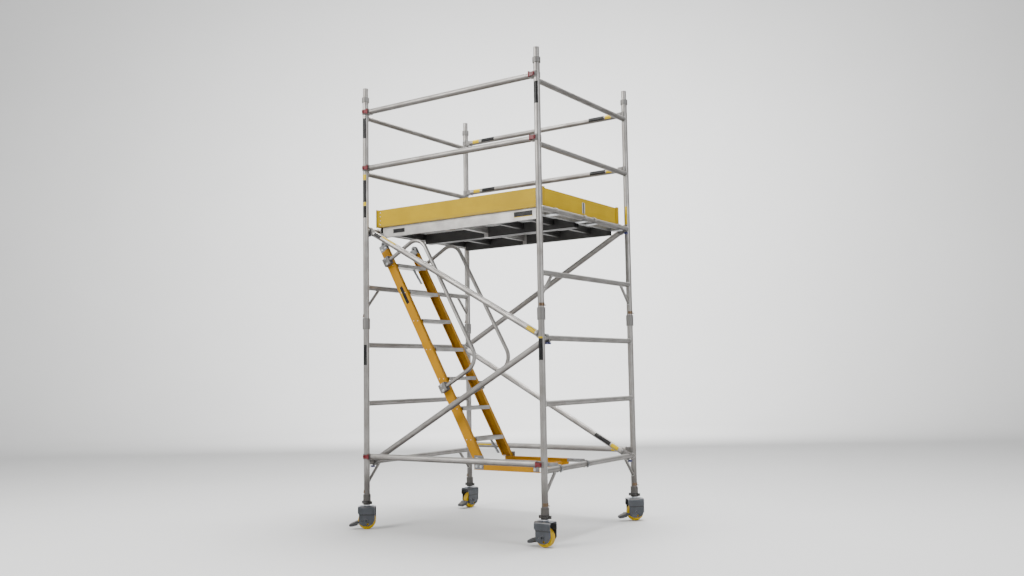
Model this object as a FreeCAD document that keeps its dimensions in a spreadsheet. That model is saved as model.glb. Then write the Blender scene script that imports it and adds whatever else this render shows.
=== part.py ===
"""Mobile tower scaffold: two aluminium frames per side, braces, two platforms, a stair and castors.

Millimetres. The origin lies on the floor midway between the four posts. X runs along the
tower, from the left frame to the right frame, Y runs from front to rear and Z is up.
"""
import FreeCAD, Part
import math
import os
import re

import Sketcher
from FreeCAD import Placement, Rotation, Vector

SIZES = {
    # posts, rungs and the joint between the frames
    "post_run": 1800,          # between post axes along X
    "post_gap": 1450,          # between post axes along Y
    "post_dia": 50.8,
    "post_wall": 3,
    "rung_dia": 44.5,
    "rung_wall": 2.5,
    "rung_pitch": 500,
    "rung_rise": 320,          # first rung above the foot of its frame
    "foot_height": 240,        # foot of the lower frames above the floor
    "lower_count": 3,
    "upper_count": 4,
    "joint_gap": 0.3,
    "collar_dia": 64,
    "collar_height": 43,
    "sleeve_dia": 65,
    "sleeve_height": 51,
    "spigot_show": 82,
    "spigot_grip": 120,
    "spigot_wall": 3.4,
    "spigot_play": 0.075,
    "knee_dia": 25,
    "knee_wall": 2,
    "knee_reach": 170,
    "knee_drop": 185,
    # interlock clips
    "pin_dia": 8,
    "pin_play": 0.1,
    "pin_rise": 66,
    "clip_height": 24,
    "clip_rise": 74,
    "clip_wall": 3,
    "clip_knob": 14,
    # braces and their claws
    "brace_dia": 50,
    "brace_wall": 2.5,
    "base_lift": 50,           # base braces above the first rung
    "rail_lift": 46,           # guard rails above the sixth and seventh rung
    "claw_play": 0.3,
    "claw_wall": 10,
    "claw_height": 44,
    "claw_arm": 64,
    "claw_mouth": 12,
    "hook_width": 36,
    "outer_inset": 45,         # upper diagonals inside the post axes
    "inner_inset": 85,         # lower diagonals inside the post axes
    "trigger_long": 50,
    "trigger_thick": 7,
    "trigger_high": 30,
    "button_wide": 26,
    "button_high": 16,
    "button_out": 10,
    # platforms and toe boards
    "deck_wide": 609,
    "deck_split": 3,           # half of the gap between the platforms
    "deck_thick": 12,
    "beam_long": 1600,
    "beam_wide": 35,
    "beam_high": 90,
    "beam_wall": 3,
    "beam_level": 2500,
    "end_bar": 30,
    "member_wide": 40,
    "member_high": 55,
    "hanger_width": 34,
    "hanger_outer": 29,
    "left_hook": 50,           # first hook of the left end, behind the platform's front edge
    "right_hook": 110,
    "hook_spread": 450,
    "hatch_start": 20,         # from the left end of the beams
    "hatch_long": 655,
    "hatch_wide": 525,
    "hatch_play": 4,
    "hinge_dia": 8,
    "board_high": 150,
    "board_thick": 22,
    "board_run": 1730,
    "board_span": 1270,
    "tab_wide": 50,            # end plates of the long boards, around the corner
    "tab_thick": 4,
    "tab_rise": 9,
    # stair
    "stair_foot": 134,         # stile axis at the foot level, along X
    "stair_level": 602,
    "stair_lean": 29.1,        # degrees from upright
    "stile_long": 2052,
    "stile_depth": 80,
    "stile_flange": 35,
    "stile_wall": 4,
    "stair_front": 530,        # outer face of the front stile in front of the tower axis
    "stair_rear": 85,
    "tread_first": 760,
    "tread_pitch": 250,
    "tread_deep": 120,
    "tread_thick": 30,
    "tread_wall": 3,
    "base_start": 98,
    "base_end": 730,
    "rail_dia": 34,
    "rail_wall": 3,
    "rail_low": 667,
    "rail_high": 1934,
    "rail_offset": 420,
    "rail_bend": 130,
    "rail_out": 20,            # handrail axis outside the stile
    # castors and adjustable legs
    "stem_dia": 38,
    "stem_long": 440,
    "stem_bore": 28,
    "stem_play": 0.08,
    "nut_dia": 66,
    "nut_high": 34,
    "wing_span": 104,
    "neck_dia": 50,
    "fork_top": 194,
    "fork_wide": 100,
    "fork_half": 71,
    "fork_plate": 5,
    "fork_crown": 8,
    "fork_step": 4,            # the cheeks stand back below the pressed step
    "step_level": 130,
    "shoulder": 22,
    "king_dia": 20,
    "king_play": 0.05,
    "wheel_dia": 150,
    "wheel_wide": 50,
    "axle_dia": 15,
    "axle_play": 0.05,
    "axle_head": 13,
    "axle_end": 53,
    "pedal_pivot": 37,
    "pedal_rise": 75,
    "pedal_wide": 74,
    "pedal_arm": 7,
    "pedal_pin": 8,
    # turn of each castor about its king pin, in degrees
    "turn_front_left": 35,
    "turn_front_right": 0,
    "turn_rear_left": 85,
    "turn_rear_right": 45,
}

doc = FreeCAD.newDocument("TowerScaffold")
sheet = doc.addObject("Spreadsheet::Sheet", "Dims")
for row, (alias, value) in enumerate(SIZES.items(), start=1):
    sheet.set(f"A{row}", alias)
    sheet.set(f"B{row}", str(value))
    sheet.setAlias(f"B{row}", alias)
doc.recompute()

gauge = doc.addObject("App::FeaturePython", "Gauge")
gauge.addProperty("App::PropertyFloat", "Reading")
NODES = []
POST_X = "{side} * post_run / 2"
POST_Y = "{row} * post_gap / 2"
LOWER_TOP = "(foot_height + lower_count * rung_pitch)"
STAIR_PLAY = 0.3


# ---------------------------------------------------------------- building helpers

def cells(text):
    """Turn plain size names into references to the sheet."""
    return re.sub(r"[a-z_]+", lambda m: "Dims." + m[0] if m[0] in SIZES else m[0], str(text))


def number(text):
    """The present value of an expression, in plain millimetres or degrees."""
    gauge.setExpression("Reading", cells(text))
    gauge.recompute()
    return gauge.Reading


def post_x(side):
    return POST_X.format(side=side)


def post_y(row):
    return POST_Y.format(row=row)


def rung_height(index):
    """Height of a rung, counted from 1 at the bottom of the tower."""
    return f"(foot_height + rung_rise + {index - 1} * rung_pitch)"


def place(thing, x=0, y=0, z=0, axis=None, angle=None):
    """Bind the place of an object, and the angle of its turn about a fixed axis."""
    if axis:
        thing.Placement = Placement(Vector(), Rotation(Vector(*axis), 1))
        thing.setExpression("Placement.Rotation.Angle", cells(angle))
    for letter, text in zip("xyz", (x, y, z)):
        thing.setExpression("Placement.Base." + letter, cells(text))
    return thing


TURNS = {"x": ((0, 1, 0), 90), "y": ((-1, 0, 0), 90), "z": ((0, 0, 1), 0)}


def rod(axis, radius, length, x=0, y=0, z=0):
    """Solid cylinder from a point in the positive direction of an axis."""
    thing = doc.addObject("Part::Cylinder", "Rod")
    thing.setExpression("Radius", cells(radius))
    thing.setExpression("Height", cells(length))
    turn, angle = TURNS[axis]
    thing.Placement = Placement(Vector(), Rotation(Vector(*turn), angle))
    return place(thing, x, y, z)


def block(size, centre):
    """Box of three bound sizes about a centre."""
    thing = doc.addObject("Part::Box", "Block")
    for name, text in zip(("Length", "Width", "Height"), size):
        thing.setExpression(name, cells(text))
    corner = [f"({mid}) - ({span}) / 2" for mid, span in zip(centre, size)]
    return place(thing, *corner)


def slab(x, y, z):
    """Box between three pairs of limits."""
    size = [f"({high}) - ({low})" for low, high in (x, y, z)]
    centre = [f"(({high}) + ({low})) / 2" for low, high in (x, y, z)]
    return block(size, centre)


def fuse(*things):
    """One solid from several that overlap."""
    if len(things) == 1:
        return things[0]
    joined = doc.addObject("Part::MultiFuse", "Fuse")
    joined.Shapes = list(things)
    return joined


def cut(base, *tools):
    result = doc.addObject("Part::Cut", "Cut")
    result.Base = base
    result.Tool = fuse(*tools)
    return result


def hollow(size, centre, wall, along):
    """Rectangular tube whose bore runs along X, Y or Z: along is 0, 1 or 2."""
    core = [text if index == along else f"{text} - 2 * {wall}" for index, text in enumerate(size)]
    return cut(block(size, centre), block(core, centre))


def carried(thing):
    """Wrap a piece so that it can be placed and turned once more, as it stands."""
    wrap = doc.addObject("Part::Compound", "Carried")
    wrap.Links = [thing]
    return wrap


def tube(axis, radius, wall, length, x=0, y=0, z=0):
    """Hollow cylinder, open at both ends."""
    outer = rod(axis, radius, length, x, y, z)
    return cut(outer, rod(axis, f"{radius} - {wall}", length, x, y, z))


def node(label, *things):
    """Name a sub-part: one solid, or a group of separate solids."""
    if len(things) > 1:
        whole = doc.addObject("Part::Compound", "Group")
        whole.Links = list(things)
    else:
        whole = things[0]
    whole.Label = label
    NODES.append(whole)
    return whole


def body_plane(body, role):
    return next(f for f in body.Origin.OriginFeatures if f.Role == role)


def new_sketch(body, role):
    sketch = body.newObject("Sketcher::SketchObject", "Sketch")
    sketch.AttachmentSupport = [(body_plane(body, role), "")]
    sketch.MapMode = "FlatFace"
    return sketch


def pin_point(sketch, geo, end, u, v):
    """Hold one end of a sketch element at bound distances from the origin."""
    for kind, axis, text in (("DistanceX", -2, u), ("DistanceY", -1, v)):
        if text == 0:
            sketch.addConstraint(Sketcher.Constraint("PointOnObject", geo, end, axis))
            continue
        rule = Sketcher.Constraint(kind, -1, 1, geo, end, number(text))
        index = sketch.addConstraint(rule)
        sketch.setExpression(f"Constraints[{index}]", cells(text))


def outline(sketch, points):
    """Closed polygon whose corners are bound to the sheet."""
    spots = [Vector(number(u), number(v), 0) for u, v in points]
    ring = spots[1:] + spots[:1]
    lines = [sketch.addGeometry(Part.LineSegment(a, b)) for a, b in zip(spots, ring)]
    for here, after in zip(lines, lines[1:] + lines[:1]):
        sketch.addConstraint(Sketcher.Constraint("Coincident", here, 2, after, 1))
    for line, (u, v) in zip(lines, points):
        pin_point(sketch, line, 1, u, v)


def circle(sketch, radius, u=0, v=0):
    spot = Vector(number(u), number(v), 0)
    geo = sketch.addGeometry(Part.Circle(spot, Vector(0, 0, 1), number(radius)))
    pin_point(sketch, geo, 3, u, v)
    index = sketch.addConstraint(Sketcher.Constraint("Radius", geo, number(radius)))
    sketch.setExpression(f"Constraints[{index}]", cells(radius))


# ---------------------------------------------------------------- side frames

def post(side, row, foot, count):
    """Post with a sleeve at its foot, a collar at its top and a spigot for the next frame."""
    x, y = post_x(side), post_y(row)
    length = f"({count} * rung_pitch - joint_gap)"
    top = f"({foot} + {length})"
    bore = "(post_dia / 2 - post_wall)"
    grip = f"({top} - spigot_grip)"
    outside = fuse(
        rod("z", "post_dia / 2", length, x, y, foot),
        rod("z", "sleeve_dia / 2", "sleeve_height", x, y, foot),
        rod("z", "collar_dia / 2", "collar_height", x, y, f"{top} - collar_height"),
        rod("z", f"{bore} - spigot_play", "spigot_grip + spigot_show", x, y, grip),
    )
    hollow = rod("z", bore, f"{length} - spigot_grip", x, y, foot)
    core = f"{bore} - spigot_wall"
    channel = rod("z", core, "spigot_grip + spigot_show + 2", x, y, f"{grip} - 1")
    hole = "pin_dia / 2 + pin_play"
    start = f"{x} - {'0' if side > 0 else 'sleeve_dia'}"
    clip_hole = rod("x", hole, "sleeve_dia", start, y, f"{foot} + pin_rise")
    level = f"{top} + joint_gap + pin_rise"
    spigot_hole = rod("x", hole, "2 * sleeve_dia", f"{x} - sleeve_dia", y, level)
    return cut(outside, hollow, channel, clip_hole, spigot_hole)


def knee(side, row, height):
    """Short brace from a post up to the rung above it, with coped ends."""
    x, y = post_x(side), post_y(row)
    low = f"{height} - knee_drop"
    length = "sqrt(knee_reach ^ 2 + knee_drop ^ 2)"
    whole = tube("z", "knee_dia / 2", "knee_wall", length)
    place(whole, x, y, low, axis=(row, 0, 0), angle="atan2(knee_reach; knee_drop)")
    upright = rod("z", "post_dia / 2", "2 * knee_drop", x, y, f"{low} - knee_drop / 2")
    cross = rod("y", "rung_dia / 2", "post_gap", x, "-post_gap / 2", height)
    return cut(whole, upright, cross)


def side_frame(label, side, foot, first, count):
    x = post_x(side)
    height = f"{count} * rung_pitch"
    pieces = [post(side, row, foot, count) for row in (-1, 1)]
    uprights = [rod("z", "post_dia / 2", height, x, post_y(row), foot) for row in (-1, 1)]
    cheeks = fuse(*uprights)
    for index in range(first, first + count):
        rung = tube("y", "rung_dia / 2", "rung_wall", "post_gap", x, "-post_gap / 2", rung_height(index))
        pieces.append(cut(rung, cheeks))
    pieces += [knee(side, row, rung_height(first)) for row in (-1, 1)]
    return node(label, *pieces)


def interlock_clip(side, row, foot, tip):
    """Half band on the outward side of a post, with a pin through the post's wall."""
    x, y = post_x(side), post_y(row)
    inner = "(post_dia / 2 + claw_play)"
    level = f"{foot} + clip_rise - clip_height / 2"
    band = rod("z", f"{inner} + clip_wall", "clip_height", x, y, level)
    inside = rod("z", inner, "clip_height", x, y, level)
    limits = (f"{x} - post_dia", x) if side > 0 else (x, f"{x} + post_dia")
    away = slab(limits, (f"{y} - post_dia", f"{y} + post_dia"), (level, f"{level} + clip_height"))
    half = cut(band, inside, away)
    length = f"({inner} + clip_wall + clip_knob - {tip})"
    start = f"{x} + {tip}" if side > 0 else f"{x} - {tip} - {length}"
    pin = rod("x", "pin_dia / 2", length, start, y, f"{foot} + pin_rise")
    return fuse(half, pin)


def frames():
    for side, name in ((-1, "left"), (1, "right")):
        side_frame(f"{name}_lower_frame", side, "foot_height", 1, SIZES["lower_count"])
        side_frame(f"{name}_upper_frame", side, LOWER_TOP, 1 + SIZES["lower_count"], SIZES["upper_count"])
        stem_tip = "(stem_dia / 2 + 1.2)"
        spigot_tip = "(post_dia / 2 - post_wall - spigot_wall - 2)"
        clips = []
        for row in (-1, 1):
            clips.append(interlock_clip(side, row, "foot_height", stem_tip))
            clips.append(interlock_clip(side, row, LOWER_TOP, spigot_tip))
        node(f"interlock_clips_{name}", *clips)


# ---------------------------------------------------------------- braces

def claw(axis, radius, depth, lug=0):
    """Open hook about an axis through the origin, its arm along +X and its mouth towards -X."""
    outer = f"({radius} + claw_wall)"
    inner = f"({radius} + claw_play)"
    start = {"y": (0, f"-{depth} / 2", 0), "z": (0, 0, f"-{depth} / 2")}[axis]
    wide = "brace_dia + 2"
    size = {"y": ("claw_arm", depth, wide), "z": ("claw_arm", wide, depth)}[axis]
    solid = [rod(axis, outer, depth, *start), block(size, ("claw_arm / 2", 0, 0))]
    if lug:
        reach = f"({outer} - 3)"
        solid.append(block((16, reach, depth), ("claw_arm - 14", f"{lug} * {reach} / 2", 0)))
    far = f"{outer} + 2"
    mouth = slab((f"-({far})", "-claw_mouth"), (f"-({far})", far), (f"-({far})", far))
    return cut(fuse(*solid), rod(axis, inner, depth, *start), mouth)


def level_brace(label, row, height):
    """Horizontal brace that clips to two posts."""
    y = post_y(row)
    span = "post_run - 2 * claw_arm"
    bar = tube("x", "brace_dia / 2", "brace_wall", span, "-post_run / 2 + claw_arm", y, height)
    left = claw("z", "post_dia / 2", "claw_height", lug=row)
    place(left, post_x(-1), y, height)
    right = claw("z", "post_dia / 2", "claw_height", lug=-row)
    place(right, post_x(1), y, height, axis=(0, 0, 1), angle=180)
    return node(label, bar, left, right)


DROP = "(2 * rung_pitch)"
SLOPE = f"atan2({DROP}; post_run)"
SLANT = f"sqrt(post_run ^ 2 + {DROP} ^ 2)"


def diagonal(label, row, inset, start_side, start_rung):
    """Brace falling two rungs from a rung of one side frame to a rung of the other."""
    y = f"{row} * (post_gap / 2 - {inset})"
    high, low = rung_height(start_rung), rung_height(start_rung - 2)
    falls_right = start_side < 0
    left_height, right_height = (high, low) if falls_right else (low, high)
    sign = 1 if falls_right else -1
    bar = tube("z", "brace_dia / 2", "brace_wall", f"{SLANT} - 2 * claw_arm")
    start_x = f"-post_run / 2 + claw_arm * cos({SLOPE})"
    start_z = f"{left_height} - {sign} * claw_arm * sin({SLOPE})"
    place(bar, start_x, y, start_z, axis=(0, 1, 0), angle=f"90 deg + {sign} * {SLOPE}")
    left = claw("y", "rung_dia / 2", "hook_width")
    left_turn = SLOPE if falls_right else f"360 deg - {SLOPE}"
    place(left, post_x(-1), y, left_height, axis=(0, 1, 0), angle=left_turn)
    right = claw("y", "rung_dia / 2", "hook_width")
    place(right, post_x(1), y, right_height, axis=(0, 1, 0), angle=f"180 deg + {sign} * {SLOPE}")
    return node(label, bar, left, right)


BASE_HEIGHT = f"({rung_height(1)} + base_lift)"
MID_HEIGHT = f"({rung_height(6)} + rail_lift)"
TOP_HEIGHT = f"({rung_height(7)} + rail_lift)"
TRIGGER_OUT = "(post_dia / 2 + claw_wall + 0.5 + trigger_thick / 2)"


def red_trigger(side, row, height):
    """Locking lever beside a claw, on an upright hinge at its brace end."""
    y = f"{row} * (post_gap / 2 + {TRIGGER_OUT})"
    pivot = f"{side} * (post_run / 2 - trigger_long)"
    lever = block(("trigger_long", "trigger_thick", "trigger_high"),
                  (f"{pivot} + {side} * trigger_long / 2", y, height))
    barrel = rod("z", 6, "claw_height", pivot, y, f"{height} - claw_height / 2")
    thumb = block((14, 8, "trigger_high - 8"),
                  (f"{side} * (post_run / 2 - 8)", f"{y} + {row} * 6", height))
    return fuse(lever, barrel, thumb)


def blue_trigger(side, row, inset, rung):
    """Push button under a hook."""
    y = f"{row} * (post_gap / 2 - {inset})"
    top = f"({rung_height(rung)} - rung_dia / 2 - claw_wall - 0.5)"
    x = f"({post_x(side)} + {side} * button_out)"
    return block(("button_wide", "button_wide", "button_high"), (x, y, f"{top} - button_high / 2"))


def braces():
    for row, name in ((-1, "front"), (1, "rear")):
        level_brace(f"{name}_base_brace", row, BASE_HEIGHT)
        level_brace(f"{name}_mid_guard_rail", row, MID_HEIGHT)
        level_brace(f"{name}_top_guard_rail", row, TOP_HEIGHT)
        diagonal(f"{name}_upper_diagonal", row, "outer_inset", row, 5)
        diagonal(f"{name}_lower_diagonal", row, "inner_inset", -row, 3)
        for side, end in ((-1, "left"), (1, "right")):
            levers = [red_trigger(side, row, h) for h in (BASE_HEIGHT, MID_HEIGHT, TOP_HEIGHT)]
            node(f"red_triggers_{name}_{end}", *levers)
            outer_rung, inner_rung = (5, 1) if side == row else (3, 3)
            buttons = [blue_trigger(side, row, "outer_inset", outer_rung),
                       blue_trigger(side, row, "inner_inset", inner_rung)]
            node(f"blue_triggers_{name}_{end}", *buttons)


# ---------------------------------------------------------------- platforms

BEAM_TOP = "(beam_level + beam_high)"
DECK_LEVEL = f"({BEAM_TOP} + joint_gap)"
DECK_TOP = f"({DECK_LEVEL} + deck_thick)"
RAIL_LEVEL = rung_height(5)
HATCH_LEFT = "(-beam_long / 2 + hatch_start)"
HATCH_FRONT = "(-deck_split - deck_wide + beam_wide + 5)"
LEFT_HOOKS = ("left_hook", "left_hook + hook_spread")
RIGHT_HOOKS = ("right_hook", "right_hook + hook_spread")


def side_beam(front):
    """Rectangular tube along the platform."""
    size = ("beam_long", "beam_wide", "beam_high")
    return hollow(size, (0, f"{front} + beam_wide / 2", "beam_level + beam_high / 2"), "beam_wall", 0)


def cross_beam(x, wide, front, rear):
    """Rectangular tube across the platform, just under its deck."""
    size = (wide, f"({rear} - {front})", "member_high")
    centre = (f"{x} + {wide} / 2", f"({front} + {rear}) / 2", f"{BEAM_TOP} - member_high / 2")
    return hollow(size, centre, "beam_wall", 1)


def rung_hook(side, y):
    """Hook that rests on a rung, open below."""
    x = post_x(side)
    start = f"{y} - hanger_width / 2"
    crown = rod("y", "hanger_outer", "hanger_width", x, start, RAIL_LEVEL)
    neck = (f"{side} * (post_run / 2 - hanger_outer + 4)", f"{side} * (beam_long / 2 + end_bar)")
    limits = neck if side < 0 else (neck[1], neck[0])
    arm = slab(limits, (start, f"{start} + hanger_width"), (f"{RAIL_LEVEL} - 18", f"{RAIL_LEVEL} + 24"))
    seat = rod("y", "rung_dia / 2 + claw_play", "hanger_width", x, start, RAIL_LEVEL)
    below = slab((f"{x} - 25", f"{x} + 60") if side > 0 else (f"{x} - 60", f"{x} + 25"),
                 (start, f"{start} + hanger_width"), (f"{RAIL_LEVEL} - 60", f"{RAIL_LEVEL} - 2"))
    return cut(fuse(crown, arm), seat, below)


def platform(name, front, members):
    """Beams, end bars, cross members and hooks; front is the platform's edge nearest the front."""
    rear = f"({front} + deck_wide)"
    pieces = [side_beam(front), side_beam(f"{rear} - beam_wide")]
    pieces.append(cross_beam("(-beam_long / 2 - end_bar)", "end_bar", front, rear))
    pieces.append(cross_beam("beam_long / 2", "end_bar", front, rear))
    for side, offsets in ((-1, LEFT_HOOKS), (1, RIGHT_HOOKS)):
        pieces += [rung_hook(side, f"{front} + {offset}") for offset in offsets]
    for x in members:
        pieces.append(cross_beam(x, "member_wide", f"({front} + beam_wide)", f"({rear} - beam_wide)"))
    return node(f"{name}_platform_frame", *pieces)


def deck_sheet(front):
    return slab(("-beam_long / 2 - end_bar", "beam_long / 2 + end_bar"), (front, f"{front} + deck_wide"),
                (DECK_LEVEL, DECK_TOP))


def hinge_leaf(x, long, inward):
    """Knuckle on the hatch hinge line with a leaf to one side."""
    line = f"({HATCH_FRONT} + hatch_play)"
    height = f"({DECK_TOP} + hinge_dia / 2 + joint_gap)"
    knuckle = rod("x", "hinge_dia / 2", long, x, line, height)
    spread = (line, f"{line} + 34") if inward else (f"{line} - 34", line)
    leaf = slab((x, f"{x} + {long}"), spread, (DECK_TOP, f"{DECK_TOP} + 2.5"))
    web = slab((x, f"{x} + {long}"), (f"{line} - 2", f"{line} + 2"), (f"{DECK_TOP} + 0.5", height))
    return fuse(knuckle, leaf, web)


def platforms():
    front_edge = "(-deck_split - deck_wide)"
    rear_edge = "deck_split"
    hatch_end = f"({HATCH_LEFT} + hatch_long)"
    platform("front", front_edge, (hatch_end, 250, 560))
    platform("rear", rear_edge, (-540, -150, 240, 560))
    node("rear_platform_deck", deck_sheet(rear_edge))
    opening = slab((HATCH_LEFT, hatch_end), (HATCH_FRONT, f"{HATCH_FRONT} + hatch_wide"),
                   (f"{DECK_LEVEL} - 1", f"{DECK_TOP} + 1"))
    knuckles = [hinge_leaf(f"{HATCH_LEFT} + {start}", 30, False) for start in (92, 482)]
    node("front_platform_deck", fuse(cut(deck_sheet(front_edge), opening), *knuckles))
    lid = slab((f"{HATCH_LEFT} + hatch_play", f"{hatch_end} - hatch_play"),
               (f"{HATCH_FRONT} + hatch_play", f"{HATCH_FRONT} + hatch_wide - hatch_play"),
               (DECK_LEVEL, DECK_TOP))
    grip_x = f"({HATCH_LEFT} + hatch_long / 2)"
    grip_y = f"({HATCH_FRONT} + hatch_wide - 60)"
    slot = slab((f"{grip_x} - 55", f"{grip_x} + 55"), (f"{grip_y} - 17", f"{grip_y} + 17"),
                (f"{DECK_LEVEL} - 1", f"{DECK_TOP} + 1"))
    leaves = [hinge_leaf(f"{HATCH_LEFT} + {start}", 30, True) for start in (60, 124, 450, 514)]
    node("hatch", fuse(cut(lid, slot), *leaves))
    locks = [wind_lock(f"{edge} + {offset}") for edge in (front_edge, rear_edge) for offset in RIGHT_HOOKS]
    node("wind_locks", *locks)


def wind_lock(y):
    """Latch that turns under the rung beside a hook so that wind can't lift the platform."""
    bar_end = "(beam_long / 2 + end_bar)"
    top = f"({RAIL_LEVEL} - rung_dia / 2 - 0.6)"
    barrel = rod("y", 5, 60, f"{bar_end} + 8", f"{y} - 30", f"{top} - 5")
    finger = slab((f"{bar_end} + 8", "post_run / 2 + 22"), (f"{y} - 30", f"{y} + 30"), (f"{top} - 7", top))
    return fuse(barrel, finger)


def toe_boards():
    level = (BEAM_TOP, f"{BEAM_TOP} + board_high")
    run, span = "board_run / 2", "board_span / 2"
    tall = (BEAM_TOP, f"{BEAM_TOP} + board_high + tab_rise")
    for row, name in ((-1, "front"), (1, "rear")):
        faces = [f"{row} * {span}", f"{row} * ({span} - board_thick)"]
        pieces = [slab((f"-{run}", run), faces[::-row], level)]
        reach = [f"{row} * {span}", f"{row} * ({span} - tab_wide)"]
        for side in (-1, 1):
            skin = [f"{side} * {run}", f"{side} * ({run} - tab_thick)"]
            pieces.append(slab(skin[::-side], reach[::-row], tall))
        node(f"{name}_toe_board", fuse(*pieces))
    inner = f"({span} - board_thick - joint_gap)"
    outer = f"({run} - tab_thick - joint_gap)"
    for side, name in ((-1, "left"), (1, "right")):
        faces = [f"{side} * {outer}", f"{side} * ({outer} - board_thick)"]
        node(f"{name}_toe_board", slab(faces[::-side], (f"-{inner}", inner), level))


# ---------------------------------------------------------------- stair

STILE_FRONTS = ("-stair_front", "(-stair_rear - stile_flange)")


def on_stair(thing, y="0"):
    """Lay a piece that stands upright about the origin along the stair's slope."""
    return place(thing, "stair_foot", y, "stair_level", axis=(0, -1, 0), angle="stair_lean")


def channel(size, centre, open_to):
    """Box opened on the side towards the treads: open_to is 1 for +Y and -1 for -Y."""
    core = [size[0], size[1], size[2]]
    middle = list(centre)
    long = 0 if "base" in str(size[0]) else 2
    deep = 2 - long
    core[deep] = f"{size[deep]} - 2 * stile_wall"
    middle[1] = f"{centre[1]} + {open_to} * stile_wall"
    return cut(block(size, centre), block(core, middle))


def stile(row):
    front = STILE_FRONTS[0] if row < 0 else STILE_FRONTS[1]
    size = ("stile_depth", "stile_flange", "stile_long + 60")
    whole = channel(size, (0, f"{front} + stile_flange / 2", "stile_long / 2 - 30"), -row)
    on_stair(whole)
    floor = slab(("stair_foot - 200", "stair_foot + 200"), ("-stair_front - 20", 0),
                 ("stair_level - 200", "stair_level"))
    return cut(whole, floor)


def tread(index):
    height = f"(tread_first + {index} * tread_pitch)"
    x = f"(stair_foot - ({height} - stair_level) * tan(stair_lean))"
    y = "(-(stair_front + stair_rear) / 2)"
    wide = f"(stair_front - stair_rear - 2 * stile_flange - {2 * STAIR_PLAY})"
    return hollow(("tread_deep", wide, "tread_thick"), (x, y, height), "tread_wall", 1)


def ring_hook(y):
    """Hook of the stair's base around the first rung, with its mouth below."""
    height = rung_height(1)
    ring = rod("y", "rung_dia / 2 + 10", 20, "post_run / 2", f"{y} - 10", height)
    width = (f"{y} - 10", f"{y} + 10")
    arm_level = (f"{height} + 12", f"{height} + 40")
    arm = slab(("base_end + 0.3", "post_run / 2 - 15"), width, arm_level)
    seat = rod("y", "rung_dia / 2 + claw_play", 20, "post_run / 2", f"{y} - 10", height)
    mouth = slab(("post_run / 2 - claw_mouth", "post_run / 2 + claw_mouth"), width,
                 (f"{height} - 60", height))
    return cut(fuse(ring, arm), seat, mouth)


def top_casting(front):
    """Cast end of a stile with an eye at its tip."""
    middle = (0, f"{front} + stile_flange / 2", "stile_long + 31.3")
    base = block(("stile_depth", "stile_flange", 62), middle)
    eye = rod("y", 24, "stile_flange", 16, front, "stile_long + 60")
    hole = rod("y", 10, "stile_flange", 16, front, "stile_long + 60")
    return on_stair(cut(fuse(base, eye), hole))


def strut(index):
    """Flat stay from the underside of a tread to the rear stile."""
    height = f"(tread_first + {index} * tread_pitch - tread_thick / 2)"
    x = f"(stair_foot - ({height} - stair_level) * tan(stair_lean))"
    bar = carried(block((25, 4, 170), (0, 0, 85)))
    inner = "(-stair_rear - stile_flange - 0.3)"
    place(bar, x, f"{inner} - 3", f"{height} - 122", axis=(1, 0, 0), angle=42)
    above = (f"{height} - 0.3", f"{height} + 60")
    ceiling = slab((f"{x} - 40", f"{x} + 40"), ("-stair_front", inner), above)
    return cut(bar, ceiling)


def stair():
    node("stair_stiles", stile(-1), stile(1))
    node("stair_treads", *[tread(index) for index in range(7)])
    sides = []
    base_long = "(base_end - base_start)"
    base_level = "stair_level - 2 - stile_depth / 2"
    for front, row in zip(STILE_FRONTS, (-1, 1)):
        centre = ("(base_end + base_start) / 2", f"{front} + stile_flange / 2", base_level)
        sides.append(channel((base_long, "stile_flange", "stile_depth"), centre, -row))
    inner_front = "-stair_front + stile_flange"
    cross_long = "stair_front - stair_rear - 2 * stile_flange"
    for x in ("base_start + 40", "base_end - 60"):
        sides.append(tube("y", 14, 3, cross_long, x, inner_front, base_level))
    node("stair_base_frame", *sides)
    brackets = []
    foot_plate = ("stair_level - 76", "stair_level + 34")
    end_plate = ("stair_level - 72", "stair_level - 12")
    for front, row in zip(STILE_FRONTS, (-1, 1)):
        web = f"{front} - 0.3" if row < 0 else f"{front} + stile_flange + 0.3"
        skin = [web, f"{web} + {row} * 5"][::row]
        brackets.append(top_casting(front))
        brackets.append(ring_hook(f"({front} + stile_flange / 2)"))
        brackets.append(slab(("base_start + 6", "base_start + 96"), skin, foot_plate))
        brackets.append(slab(("base_end - 52", "base_end - 4"), skin, end_plate))
    brackets += [strut(0), strut(6)]
    node("stair_brackets", *brackets)
    handrail("front_handrail", "(-stair_front - rail_out)", -1)
    handrail("rear_handrail", "(-stair_rear + rail_out)", 1)


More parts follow.
